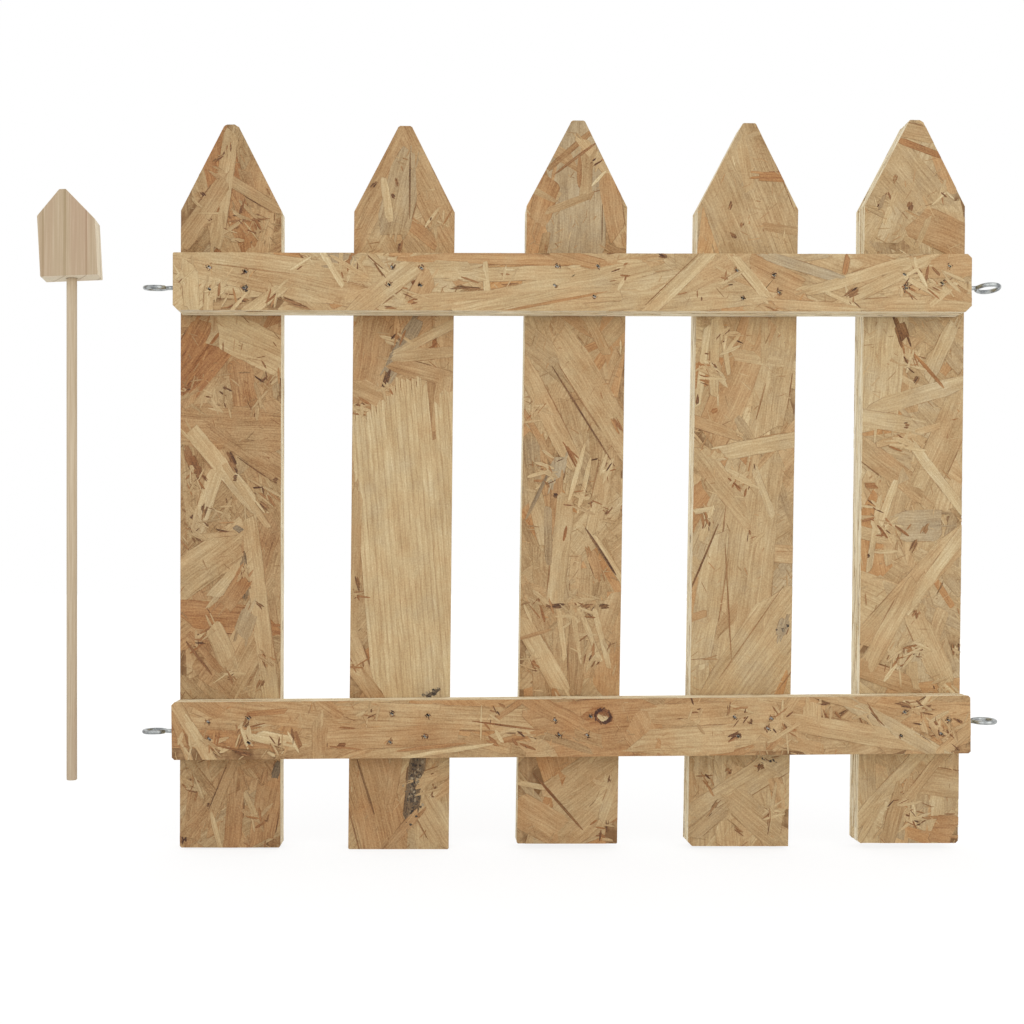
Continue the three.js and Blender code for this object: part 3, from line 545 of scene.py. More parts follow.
        (127, 11, 6, 1, 0, 0.08, 0.2, 0), (152, 5, 14, 1, -50, 0.18, 0.6, 0),
        (136, 6, 6, 1, 40, 0.14, 0.3, 0), (140, -3, 70, 10, -10, 0.61, 0.21, 0.4),
        (145, 10, 40, 5, -14, 0.56, 0.41, 0.2), (167, 10, 10, 1.6, -12, 0.1, 0.5, 0),
        (178, 8.5, 5, 1.4, 15, 0.08, 0.4, 0), (165, -3, 52, 8, -30, 0.61, -0.14, 0.2),
        (194, 2, 6, 1, -40, 0.1, 0.4, 0), (192, -8, 24, 6, 40, 0.59, 0.36, 0),
        (183, -5, 9, 1, 4, 0.16, 0.5, 0), (184, 4, 12, 2, 30, 0.68, 0.06, 0),
    ],
}

# Where slivers gather: across, up, spread and number
NESTS = {
    "picket_1": [
        (-6, 229, 8, 22), (-22, 233, 4, 8), (-18, 187, 6, 14), (18, 182, 6, 16), (-18, 163, 7, 22),
        (-6, 170, 6, 12), (7, 141, 2.5, 12), (17, 97, 3, 10), (-15, 106, 5, 12), (1, 88, 3, 6),
        (14, 226, 6, 10), (16, 15, 5, 14), (-18, 30, 6, 12), (0, 358, 4, 12), (-2, 322, 12, 26),
        (14, 318, 6, 10), (-22, 345, 6, 6), (20, 240, 5, 10),
    ],
    "picket_2": [
        (18, 322, 5, 10), (-4, 262, 5, 10), (-8, 236, 4, 6), (-21, 226, 5, 10), (-22, 130, 3, 8),
        (16, 30, 5, 14), (-21, 95, 4, 8), (20, 42, 4, 6),
    ],
    "picket_3": [
        (-14, 190, 8, 22), (4, 176, 6, 14), (18, 192, 6, 12), (16, 172, 6, 12), (-16, 122, 6, 12),
        (4, 120, 9, 26), (12, 96, 8, 16), (-19, 92, 4, 8), (18, 8, 4, 8), (-18, 222, 6, 10),
        (10, 350, 4, 8), (20, 34, 3, 6),
    ],
    "picket_4": [
        (-18, 244, 6, 26), (-8, 262, 5, 10), (0, 187, 6, 16), (-19, 166, 5, 12), (14, 44, 6, 8),
        (-16, 36, 6, 10), (17, 18, 3, 8), (20, 260, 4, 6), (5, 160, 3, 4),
    ],
    "picket_5": [
        (0, 246, 6, 20), (-6, 204, 5, 10), (-20, 170, 6, 12), (-12, 160, 8, 16), (3, 98, 6, 22),
        (-9, 92, 6, 12), (16, 82, 6, 12), (4, 14, 6, 22), (-4, 22, 6, 10), (18, 352, 3, 4), (14, 332, 5, 8),
        (-18, 328, 5, 8), (24, 100, 3, 8),
    ],
    "rail_upper": [
        (-177, -6, 5, 16), (-168, -9, 4, 8), (-148, -9, 5, 6), (-136, 11, 4, 6), (-110, 8, 7, 16),
        (-82, -9, 6, 8), (-50, 5, 6, 8), (-32, 3, 6, 6), (24, 9, 8, 10), (78, 3, 4, 8), (138, -9, 5, 8),
        (172, 4, 7, 18), (185, -1, 6, 14), (168, -4, 4, 6), (-196, 2, 3, 6), (64, -10, 10, 6),
    ],
    "rail_lower": [
        (-192, -8, 5, 10), (-178, -8, 6, 14), (-163, -2, 8, 18), (-146, -8, 5, 10), (-102, 9, 5, 8),
        (-40, 8, 7, 8), (-24, -6, 8, 10), (60, 6, 7, 10), (86, 8, 5, 8), (108, -4, 6, 12), (128, 7, 5, 8),
        (148, 4, 6, 8), (172, 9, 6, 14), (180, 0, 8, 24), (190, -5, 6, 12), (104, 9, 5, 6),
    ],
}

# Knots: across, up, width, height, and the tones of the ring and of the core
KNOTS = {"rail_lower": [(16, 5.8, 9, 8, -0.1, 0.66)]}

# Mould: across, up, length, width, angle and the number of specks
MOULD = {
    "picket_2": [(8, 34, 30, 7, 84, 150), (6, 20, 18, 5, 75, 30), (17, 81, 9, 4, 20, 26)],
    "picket_4": [(14, 44, 9, 3, 10, 12), (21, 113, 7, 6, 80, 14)],
    "rail_upper": [(-163.5, -3.5, 4, 2.5, 60, 8), (167, -2.5, 4, 3, 60, 12)],
}


class Bed:
    """The strands that lie on one face of a board.

    place turns the bed's own frame, in millimetres with z out of the wood, into the board's place in metres.
    Strands are laid a few at a time, then cut to the board's outline, drawn down into it and added to it.
    """

    def __init__(self, board, place, planes, holes, seed):
        self.board = board
        self.place = place
        self.out = place.to_3x3().normalized() @ Vector((0, 0, 1))
        self.planes = planes
        self.holes = holes
        self.random = random.Random(seed)
        self.begin()

    def begin(self):
        """Starts an empty mesh for the next strands."""
        self.bm = bmesh.new()
        self.grain = self.bm.verts.layers.float_vector.new("grain")
        self.look = self.bm.verts.layers.float_vector.new("look")
        self.rim = self.bm.verts.layers.float.new("rim")
        self.stray = self.bm.verts.layers.float.new("stray")
        self.holed = self.bm.faces.layers.int.new("holed")

    def press(self):
        """Cuts and thickens the strands laid so far and adds them to the board."""
        self.trim()
        for hole in self.holes:
            self.open_hole(*hole)
        self.thicken()
        mesh = mesh_of("bed", self.bm)
        self.board.from_mesh(mesh)
        bpy.data.meshes.remove(mesh)
        self.begin()

    def strand(self, across, up, length, width, angle, depth, look, ragged=0.25, roundness=0.35, corners=12,
               start=None):
        """One strand: a flat outline with ragged ends, drawn from a ring of points. Its roundness is 1 for an
        ellipse and 0 for a rectangle. start is where it begins in the grain, which otherwise is anywhere."""
        rand = self.random
        if width < SLIVER:
            roundness = max(roundness, POINTED)
        ring = bmesh.ops.create_circle(self.bm, cap_ends=True, radius=1, segments=corners,
                                       matrix=Matrix.Rotation(math.pi / corners, 4, "Z"))["verts"]
        turn = Matrix.Rotation(math.radians(angle), 4, "Z")
        tilt = Matrix.Rotation(math.radians(rand.uniform(-TILT, TILT) * min(1, LEVEL / width)), 4, "X")
        put = Matrix.Translation((across, up, -depth)) @ turn @ tilt
        start = start or Vector([rand.uniform(0, size) for size in LOG])
        slant = rand.uniform(-0.5, 0.5) * min(width, length / 2)
        stray = rand.random()
        highest = -rand.uniform(*LEAST_DEPTH)
        tear = ragged * min(width, length / 2)
        for vert in ring:
            x = math.copysign(abs(vert.co.x) ** roundness, vert.co.x)
            y = math.copysign(abs(vert.co.y) ** roundness, vert.co.y)
            spot = Vector((
                x * length / 2 + (y * slant + rand.uniform(-tear, tear)) * abs(x) ** 3,
                y * width / 2 * (1 + rand.uniform(-0.12, 0.12)),
                0,
            ))
            vert[self.grain] = start + spot
            vert[self.look] = look
            vert[self.rim] = 1.0
            vert[self.stray] = stray
            laid = put @ spot
            laid.z = min(laid.z, highest)
            vert.co = self.place @ laid
        return ring[0].link_faces[0]

    def sink_rims(self, faces, width, rise):
        """Gives each strand a rim of that width, sloping down all round."""
        for face in faces:
            face.normal_update()
        bmesh.ops.inset_individual(self.bm, faces=faces, thickness=width * MM, depth=rise * MM,
                                   use_even_offset=False)
        for face in faces:
            for vert in face.verts:
                vert[self.rim] = 0.0
        if len(self.bm.verts) > PRESS_LOAD:
            self.press()

    def trim(self):
        """Cuts off what lies outside the board's other faces, and sawn edges a little below its front and
        back."""
        bm = self.bm
        for normal, point in self.planes:
            edge = point - normal * (STRAY + (EDGE_TUCK if is_face(normal) else TRIM))
            bmesh.ops.bisect_plane(bm, geom=bm.verts[:] + bm.edges[:] + bm.faces[:], clear_outer=True,
                                   plane_co=edge, plane_no=normal)
            for vert in bm.verts:
                if abs(normal.dot(vert.co - edge)) < FLAT:
                    vert.co += normal * vert[self.stray] * STRAY

    def open_hole(self, centre, across, reach):
        """Cuts an oblong hole through the strands. across is its long direction, reach its half length and
        width."""
        beside = self.out.cross(across)
        radius = max(reach)
        for face in self.bm.faces:
            face[self.holed] = int(near_face(face, centre, radius))
        for normal, half in ((across, reach[0]), (-across, reach[0]),
                             (beside, reach[1]), (-beside, reach[1])):
            near = [f for f in self.bm.faces if f[self.holed]]
            edges = {e for f in near for e in f.edges}
            verts = {v for f in near for v in f.verts}
            wall = centre + normal * half
            bmesh.ops.bisect_plane(self.bm, geom=[*verts, *edges, *near], plane_co=wall, plane_no=normal)
            for face in self.bm.faces:
                if face[self.holed] and normal.dot(face.calc_center_median() - wall) > 0:
                    face[self.holed] = 0
        for vert in {v for f in self.bm.faces if f[self.holed] for v in f.verts}:
            vert.co += (vert.co - centre).cross(self.out).cross(self.out) * vert[self.stray] * HOLE_TEAR
        bmesh.ops.delete(self.bm, geom=[f for f in self.bm.faces if f[self.holed]], context="FACES")

    def thicken(self):
        """Draws the strands down into the board as closed solids, with sawn ends."""
        bm = self.bm
        faces = bm.faces[:]
        inwards = self.out * -MM * (FACE_STRAND if is_face(self.out) else EDGE_STRAND)
        made = bmesh.ops.extrude_face_region(bm, geom=faces)["geom"]
        bmesh.ops.translate(bm, verts=[v for v in made if isinstance(v, bmesh.types.BMVert)], vec=inwards)
        for face in bm.faces:
            face.material_index = EDGE_SLOT
        if is_face(self.out):
            for face in faces:
                face.material_index = FACE_SLOT
        bmesh.ops.recalc_face_normals(bm, faces=bm.faces[:])


def near_face(face, centre, radius):
    """Whether a face reaches to within radius of a point, judged by the box round it."""
    for axis in (0, 2):
        values = [v.co[axis] for v in face.verts]
        if min(values) > centre[axis] + radius or max(values) < centre[axis] - radius:
            return False
    return True


def board_planes(bm):
    """The outer faces of a board as (normal, point), largest first: flat sides that nothing stands outside
    of."""
    planes = []
    for face in sorted(bm.faces, key=lambda f: -f.calc_area()):
        normal, point = face.normal.copy(), face.verts[0].co.copy()
        if any(normal.dot(n) > PARALLEL for n, _ in planes):
            continue
        if all(normal.dot(v.co - point) < FLAT for v in bm.verts):
            planes.append((normal, point))
    return planes


def is_face(normal):
    """Whether a normal belongs to a board's front or back, and not to a sawn edge."""
    return abs(normal.y) > 0.9


def board_upright(planes):
    """The direction up a board: along a picket, and across a rail."""
    side = next(normal for normal, _ in planes if not is_face(normal))
    if abs(side.z) > abs(side.x):
        return side * math.copysign(1, side.z)
    return side.cross(Vector((0, math.copysign(1, side.x), 0)))


def bed_place(normal, corners, upright):
    """The frame of a bed: z out of the wood, y up the board or across its edge, the origin in the face's
    middle. Gives the bed's width and height too."""
    y_axis = upright if is_face(normal) else Vector((0, 1, 0))
    turn = Matrix((y_axis.cross(normal), y_axis, normal)).transposed()
    flat = [turn.transposed() @ c for c in corners]
    low = [min(c[i] for c in flat) for i in range(3)]
    high = [max(c[i] for c in flat) for i in range(3)]
    middle = Vector([(a + b) / 2 for a, b in zip(low, high)])
    place = Matrix.Translation(turn @ middle) @ turn.to_4x4() @ Matrix.Scale(MM, 4)
    return place, (high[0] - low[0]) / MM, (high[1] - low[1]) / MM


def anywhere(rand, wide, tall):
    """A random spot on a bed."""
    return rand.uniform(-wide / 2, wide / 2), rand.uniform(-tall / 2, tall / 2)


def lay_nest(bed, x, y, spread, count, tone, hue):
    """A nest of slivers: torn pale fibres, with dark slivers between them that paint the shade in the gaps.
    """
    rand = bed.random
    turn = rand.uniform(0, 180)
    faces = []
    for _ in range(count):
        kind = rand.random()
        if kind < 0.35:  # a gap: its shade painted as a dark sliver
            size = (rand.uniform(1.5, 6), rand.uniform(0.4, 1.0))
            look = (rand.uniform(0.06, 0.3), 0.7, 0)
        elif kind < 0.5:  # bark or heartwood
            size = (rand.uniform(3, 10), rand.uniform(0.6, 1.6))
            look = (rand.uniform(0.28, 0.42), 0.8, 0)
        else:
            size = (rand.uniform(4, 14), rand.uniform(0.7, 2.4))
            look = (rand.gauss(tone + 0.07, 0.06), hue / 2, 0)
        faces.append(bed.strand(x + rand.gauss(0, spread / 2), y + rand.gauss(0, spread / 2), *size,
                                turn + rand.gauss(0, 35), rand.uniform(0.04, 0.1), look,
                                ragged=0.6, corners=8))
    bed.sink_rims(faces, 0.15, 0.02)


def scatter_nests(bed, wide, tall, tone, hue):
    """Nests of slivers all over a back."""
    for _ in range(round(wide * tall / NEST_AREA)):
        lay_nest(bed, *anywhere(bed.random, wide, tall), spread=8, count=9, tone=tone, hue=hue)


def scatter_face(bed, wide, tall, lean_to, spread, tone, hue):
    """The random strands of a board's face: broad flakes at the bottom, narrower ones over them."""
    rand = bed.random
    ground = 3 * max(wide, tall)
    bed.strand(0, 0, ground, ground, lean_to, GROUND_DEPTH, (tone - 0.1, hue, 0.2))
    classes = [
        # share of the face covered, lengths, widths, depths below the face, rim
        (3.6, (50, 110), (16, 30), (0.36, 0.52), 0.4),
        (0.9, (30, 70), (8, 18), (0.27, 0.36), 0.3),
        (0.25, (14, 36), (3, 8), (0.2, 0.27), 0.2),
    ]
    for cover, lengths, widths, depths, rim in classes:
        covered = 0
        while covered < cover * wide * tall:
            length, width = rand.uniform(*lengths), rand.uniform(*widths)
            own_hue = rand.uniform(0.6, 1) if rand.random() < 0.1 else rand.gauss(hue, 0.15)
            look = (rand.gauss(tone, 0.045), own_hue, rand.random() ** 2 * 0.5)
            flake = bed.strand(*anywhere(rand, wide, tall), length, width, lean_to + rand.gauss(0, spread),
                               rand.uniform(*depths), look)
            bed.sink_rims([flake], rim, 0.05)
            covered += length * width


def scatter_crumbs(bed, wide, tall, tone, hue):
    """Loose fibres and splits, all over the face: short, thin and close to its own tone."""
    rand = bed.random
    for _ in range(round(wide * tall / CRUMB_SPACING ** 2)):
        crumb = bed.strand(*anywhere(rand, wide, tall), rand.uniform(1.5, 8), rand.uniform(0.3, 0.8),
                           rand.uniform(0, 180), rand.uniform(0.11, 0.19),
                           (rand.gauss(tone - 0.04, 0.09), abs(rand.gauss(hue, 0.3)), 0),
                           ragged=0.5, corners=6)
        bed.sink_rims([crumb], 0.05, 0.0)


def directions(angle):
    """Along and beside a strand that lies at an angle of so many degrees."""
    along = Vector((math.cos(math.radians(angle)), math.sin(math.radians(angle))))
    return along, Vector((-along.y, along.x))


def lay_crack_shade(bed, x, y, length, width, angle, look):
    """A split between strands: a bundle of dark slivers at the surface, ragged at both ends, that paint the
    shade in the split.
    """
    rand = bed.random
    along, beside = directions(angle)
    tone, hue, rings = look
    slivers = 5
    faces = []
    for i in range(slivers):
        spot = (Vector((x, y)) + along * rand.uniform(-0.22, 0.22) * length
                + beside * (i / (slivers - 1) - 0.5 + rand.uniform(-0.15, 0.15)) * width)
        faces.append(bed.strand(*spot, length * rand.uniform(0.35, 0.8), width * rand.uniform(0.35, 0.7),
                                angle + rand.gauss(0, 6), rand.uniform(0.0, 0.03),
                                (tone + rand.choice((0.02, 0.06, 0.2)), max(hue, 0.6), rings), ragged=0.8))
    bed.sink_rims(faces, 0.08, 0.01)


def fray_and_shade(bed, x, y, length, width, angle, depth, look):
    """Loose fibres that carry on past the two ends of a strand, and a dark sliver under one of its sides: a
    painted shadow.
    """
    rand = bed.random
    along, beside = directions(angle)
    tone, hue, rings = look
    faces = []
    for i in range(4):
        end = -1 if i % 2 else 1
        reach = rand.uniform(0.1, 0.35) * width + 2
        spot = (Vector((x, y)) + along * end * (length / 2 + reach * 0.2)
                + beside * rand.uniform(-0.45, 0.45) * width)
        faces.append(bed.strand(*spot, reach * 2, rand.uniform(0.7, 1.8), angle + rand.gauss(0, 4),
                                depth - 0.01, (tone + rand.uniform(-0.1, 0.06), hue, rings), ragged=0.8))
    # painted shadow: a dark sliver along one side, under the strand
    side_shadow = (Vector((x, y)) + along * rand.uniform(-0.2, 0.2) * length
           + beside * rand.choice((-0.5, 0.5)) * width)
    faces.append(bed.strand(*side_shadow, length * rand.uniform(0.2, 0.6), 0.7, angle, depth + 0.01,
                            (max(tone - 0.25, 0.1), max(hue, 0.4), 0), ragged=0.8))
    bed.sink_rims(faces, 0.1, 0.01)


def lay_by_hand(bed, name, tall, board_tone, board_hue):
    """The strands of a front that are listed one by one, the broad ones first."""
    foot = 0 if name in RAILS else -tall / 2
    classes = [
        # least width and the width it stays under, depth below the face, rim
        (12, 99, 0.2, 0.5),
        (SLIVER, 12, 0.13, 0.4),
        (0, SLIVER, 0.06, 0.15),
    ]
    for least, most, depth, rim in classes:
        rows = [row for row in LAID[name] if least <= row[3] < most]
        for i, (x, z, length, width, angle, tone, hue, rings) in enumerate(rows):
            if width < SLIVER and tone < CRACK_TONE and length < CRACK_LENGTH:
                lay_crack_shade(bed, x, z + foot, length, width, angle, (tone, hue, rings))
            else:
                higher = 0.05 * i / len(rows)  # each lies over the one before
                flake = bed.strand(x, z + foot, length, width, angle, depth - higher, (tone, hue, rings))
                bed.sink_rims([flake], rim, 0.02)
                if width > FRAYED:
                    fray_and_shade(bed, x, z + foot, length, width, angle, depth - higher, (tone, hue, rings))
    for x, z, spread, count in NESTS[name]:
        lay_nest(bed, x, z + foot, spread, count, board_tone, board_hue)
    for x, z, width, height, tone, core_tone in KNOTS.get(name, []):
        lay_knot(bed, x, z + foot, width, height, tone, core_tone)
    for x, z, length, width, angle, count in MOULD.get(name, []):
        lay_mould(bed, x, z + foot, length, width, angle, count)
    lay_nail_scars(bed)


def lay_knot(bed, x, y, width, height, tone, core_tone):
    """A small knot: a dark ring of bark round paler wood, in wood stained brown about it."""
    rand = bed.random
    faces = [bed.strand(x - 2, y - 1, width * 1.7, height * 1.4, 5, 0.1, (tone + 0.5, 0.9, 0), roundness=0.9),
             bed.strand(x, y, width, height, -20, 0.08, (tone + 0.28, 0.9, 0), roundness=1)]
    slivers = 20
    for i in range(slivers):
        angle = math.tau * i / slivers
        thick = abs(math.cos(angle - math.radians(140)))  # the bark is thickest at two opposite sides
        faces.append(bed.strand(x + math.cos(angle) * width * 0.42, y + math.sin(angle) * height * 0.42,
                                rand.uniform(1.5, 3), 0.4 + thick * rand.uniform(0.6, 1.8),
                                math.degrees(angle) + 90 + rand.gauss(0, 20), 0.07,
                                (tone + 0.25 * (1 - thick), 0.8, 0), ragged=0.8))
    faces.append(bed.strand(x + 0.3, y, width * 0.7, height * 0.7, -35, 0.05, (core_tone, -0.1, 0),
                            ragged=0.3, roundness=0.8))
    for _ in range(5):  # splits in the core
        faces.append(bed.strand(x + rand.uniform(-1.5, 2), y + rand.uniform(-1.2, 1.2), rand.uniform(1, 3),
                                0.4, rand.gauss(-60, 25), 0.04,
                                (core_tone - rand.uniform(0.1, 0.3), 0, 0), ragged=0.8))
    bed.sink_rims(faces, 0.1, 0.0)


def lay_mould(bed, x, y, length, width, angle, count):
    """Specks of black mould along a strand, and of the grey bloom on it, thickest in its middle."""
    rand = bed.random
    turn = Matrix.Rotation(math.radians(angle), 2)
    faces = []
    for _ in range(count):
        spot = Vector((x, y)) + turn @ Vector((rand.gauss(0, length / 4), rand.gauss(0, width / 4)))
        size = rand.uniform(0.5, 1.9)
        faces.append(bed.strand(*spot, size, size * rand.uniform(0.5, 1), rand.uniform(0, 180),
                                rand.uniform(0.04, 0.07), (rand.choice(MOULD_TONES), -1, 0),
                                ragged=0.5, corners=8))
    bed.sink_rims(faces, 0.1, 0.0)


def lay_nail_scars(bed):
    """The torn, stained fibres round each nail hole."""
    rand = bed.random
    back = bed.place.inverted()
    fibres = 6
    faces = []
    for centre, *_ in bed.holes:
        spot = back @ centre
        for i in range(fibres):
            angle = math.tau * (i + rand.random()) / fibres
            away = rand.uniform(0.9, 1.5)
            faces.append(bed.strand(spot.x + math.cos(angle) * away, spot.y + math.sin(angle) * away,
                                    rand.uniform(0.9, 2.4), rand.uniform(0.4, 0.9),
                                    math.degrees(angle) + 90 + rand.gauss(0, 35), rand.uniform(0.05, 0.1),
                                    (rand.choice(SCAR_TONES), 0.5, 0), ragged=0.8, corners=8))
    bed.sink_rims(faces, 0.08, 0.0)


# The wide pale flake on one picket: the torn upper ends of its fibres, from the left, in millimetres up from
# the picket's foot. One broke off short.
SHEET_BOARD = "picket_2"
SHEET_TOPS = [225, 224, 222, 225, 227, 229, 230, 232, 236, 239,
              240, 239, 240, 240, 236, 206, 226, 231, 232, 231]
SHEET_FIBRE = 2.7  # the width of a fibre, which is the spacing of the growth rings
SHEET_OVERLAP = 0.6  # how much wider each fibre is than its share, so that no gap opens
SHEET_LEAN = 95.2  # degrees
SHEET_FOOT = 60  # millimetres up from the picket's foot, behind the lower rail
SHEET_LEFT = -12  # the left edge of the first fibre at the sheet's foot


def lay_sheet(bed, tall):
    """The wide pale flake, split along its growth rings into fibres with torn upper ends. A slot between two
    of them shows the brown strand below."""
    along, beside = directions(SHEET_LEAN)
    faces = []
    for i, top in enumerate(SHEET_TOPS):
        length = (top - SHEET_FOOT) / along.y
        middle = Vector((SHEET_LEFT, SHEET_FOOT)) - beside * (i + 0.5) * SHEET_FIBRE + along * length / 2
        tone = 0.67 + 0.02 * math.sin(i * 2.4)
        faces.append(bed.strand(middle.x, middle.y - tall / 2, length, SHEET_FIBRE + SHEET_OVERLAP,
                                SHEET_LEAN, 0.12 - 0.003 * i, (tone, -0.02, 1.0), ragged=0.6,
                                start=Vector((length / 2, -i * SHEET_FIBRE, 40))))
    bed.sink_rims(faces, 0.12, 0.02)


def scatter_edge(bed, long, thick):
    """The strands that a saw cut through: thin layers along the edge, palest at the board's two skins. An
    edge that faces up is painted darker as shade, and the gaps between layers are painted dark as shade.
    """
    rand = bed.random
    covered = 0
    while covered < 2 * long * thick:
        length, width = rand.uniform(8, 40), rand.uniform(0.7, 1.7)
        up = rand.uniform(-thick / 2, thick / 2)
        # an edge that faces up is painted darker: shade for the lesser light from above
        tone = rand.gauss(0.66 + 0.24 * abs(up) / thick - TOP_SHADE * max(bed.out.z, 0), 0.1)
        if rand.random() < 0.05:  # a gap: its shade painted as a dark layer
            length, width, tone = rand.uniform(2, 8), rand.uniform(0.4, 0.8), 0.05
        layer = bed.strand(rand.uniform(-long / 2, long / 2), up, length, width, rand.gauss(0, 1.5),
                           rand.uniform(0.02, 0.28), (tone, 0, 0), ragged=1.5)
        bed.sink_rims([layer], 0.15, 0.03)
        covered += length * width


def merged_solid(name):
    """A copy of a node's solid, its loose triangles joined."""
    bm = bmesh.new()
    bm.from_mesh(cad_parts[name].data)
    bmesh.ops.remove_doubles(bm, verts=bm.verts[:], dist=FLAT)
    for layer in list(bm.loops.layers.uv.values()):
        bm.loops.layers.uv.remove(layer)
    return bm


def make_core(bm, planes, tone):
    """Draws the outer faces of a board's solid in by the depth of their beds, and gives it the strands'
    attributes."""
    for vert in bm.verts:
        vert.co -= sum((normal * (BED_DEPTH if is_face(normal) else EDGE_DEPTH)
                        for normal, point in planes if abs(normal.dot(vert.co - point)) < FLAT), Vector())
    grain = bm.verts.layers.float_vector.new("grain")
    look = bm.verts.layers.float_vector.new("look")
    bm.verts.layers.float.new("rim")
    for vert in bm.verts:
        vert[grain] = vert.co / MM
        vert[look] = (tone - 0.2, 0.3, 0)
    for face in bm.faces:
        face.material_index = FACE_SLOT if is_face(face.normal) else EDGE_SLOT


def make_board(name, seed, holes=()):
    """A board of pressed strands in the outline of its solid, with the nail holes in its front."""
    board = merged_solid(name)
    planes = board_planes(board)
    corners = [v.co.copy() for v in board.verts]
    upright = board_upright(planes)
    tone, hue = BOARD_LOOK[name]
    lean_to, spread = PICKET_LIE if name in PICKETS else RAIL_LIE
    make_core(board, planes, tone)
    for index, (normal, point) in enumerate(planes):
        own = [c for c in corners if abs(normal.dot(c - point)) < FLAT]
        place, wide, tall = bed_place(normal, own, upright)
        others = [plane for i, plane in enumerate(planes) if i != index]
        front = is_face(normal) and normal.y < 0
        bed = Bed(board, place, others, holes if front else (), seed * 100 + index)
        if is_face(normal):
            scatter_face(bed, wide, tall, lean_to, spread, tone, hue)
            scatter_crumbs(bed, wide, tall, tone, hue)
            if front:
                if name == SHEET_BOARD:
                    lay_sheet(bed, tall)
                lay_by_hand(bed, name, tall, tone, hue)
            else:
                scatter_nests(bed, wide, tall, tone, hue)
        else:
            scatter_edge(bed, wide, tall)
        bed.press()
    add_piece(f"{name}_strands", board, "panel", [FACE, EDGE], [name])


def add_piece(name, bm, body, materials, replaced):
    """Makes a mesh object of a bmesh and gives it to its body."""
    mesh = mesh_of(name, bm)
    for material in materials:
        mesh.materials.append(material)
    piece = add_object(name, mesh)
    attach(piece, body)
    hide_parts(*replaced)
    return piece


NAIL_CLEARANCE = 0.12 * MM
NAIL_HEAD = (1.1 * MM, 0.625 * MM)  # half its length and half its width
NAIL_TURN = math.radians(35)  # the heads run down to the right


def nail_holes(rail):
    """Where the nails of a rail went in: centre, direction and half sizes of each hole."""
    level = rail.split("_")[1]
    across = Vector((math.cos(NAIL_TURN), 0, -math.sin(NAIL_TURN)))
    holes = []
    for name in NAILS:
        if name.startswith(f"nail_{level}"):
            low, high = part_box(name)
            holes.append(((low + high) / 2, across, [half + NAIL_CLEARANCE for half in NAIL_HEAD]))
    return holes


# Drop pin and screw eyes

ARRIS = 0.35 * MM  # sanding on the outer edges of the pin's head
SHARP = math.radians(20)  # they turn by more than this, and the facets of the head's bore by 18 degrees
SHORT = 3 * MM  # and they are longer than this, which the edges of the bore's rims are not
CHAMFER = 0.4 * MM  # at the ends of the dowel
PITH = (-62, -45)  # millimetres from the pin to the heart of the tree that its wood came from


def give_grain(bm, centre):
    """The place of each point in the pin's wood, in millimetres from the heart of the tree."""
    grain = bm.verts.layers.float_vector.new("grain")
    for vert in bm.verts:
        vert[grain] = (vert.co - centre) / MM - Vector((*PITH, 0))


def make_pin_head(centre):
    """The pin's pointed head, with its edges lightly sanded."""
    bm = merged_solid("pin_head")
    bmesh.ops.dissolve_limit(bm, angle_limit=math.radians(1), verts=bm.verts[:], edges=bm.edges[:])
    outer = [e for e in bm.edges if e.calc_face_angle(0) > SHARP and e.calc_length() > SHORT]
    bmesh.ops.bevel(bm, geom=outer, offset=ARRIS, segments=2, profile=0.5, affect="EDGES", material=-1)
    give_grain(bm, centre)
    bm.normal_update()
    for face in bm.faces:  # the sawn ends and sides are fresher than the planed front and back
        face.material_index = int(abs(face.normal.y) < 0.7)
    add_piece("pin_head_block", bm, "pin", [PLANED_PINE, SAWN_PINE], ["pin_head"])


def make_dowel(centre):
    """The pin's dowel, turned round, with its ends chamfered."""
    low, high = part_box("pin_dowel")
    radius = (high.x - low.x) / 2
    bm = bmesh.new()
    profile = [(0, low.z), (radius - CHAMFER, low.z), (radius, low.z + CHAMFER), (radius, high.z - CHAMFER),
               (radius - CHAMFER, high.z), (0, high.z)]
    points = [bm.verts.new((centre.x + across, centre.y, z)) for across, z in profile]
    edges = [bm.edges.new(pair) for pair in zip(points, points[1:])]
    bmesh.ops.spin(bm, geom=points + edges, cent=centre, axis=(0, 0, 1), angle=math.tau, steps=48,
                   use_merge=True)
    bmesh.ops.remove_doubles(bm, verts=bm.verts[:], dist=FLAT)
    bmesh.ops.recalc_face_normals(bm, faces=bm.faces[:])
    give_grain(bm, centre)
    for face in bm.faces:
        face.smooth = abs(face.normal.z) < 0.1
    add_piece("pin_dowel_rod", bm, "pin", [TURNED_PINE], ["pin_dowel"])


def make_eye(name):
    """A screw eye with its wire rounded off."""
    bm = merged_solid(name)
    bmesh.ops.join_triangles(bm, faces=bm.faces[:], angle_face_threshold=math.radians(12),
                             angle_shape_threshold=math.radians(60))
    for face in bm.faces:
        face.smooth = True
    piece = add_piece(f"{name}_wire", bm, "panel", [ZINC], [name])
    rounding = piece.modifiers.new("rounding", "SUBSURF")
    rounding.levels = rounding.render_levels = 1


# Surroundings

LENS = 47.8  # millimetres
SENSOR = 36  # millimetres
SHIFT = (0.0654, 0.0518)  # of the picture against the lens, as a share of its width
VIEW_DISTANCE = 0.7025
EYE_HEIGHT = 0.14258
EYE_ASIDE = -0.06235
GATE_MIDDLE = (0, 0, 0.18)
LAMP_SIZE = 1.2
FLOOR_REACH = 6


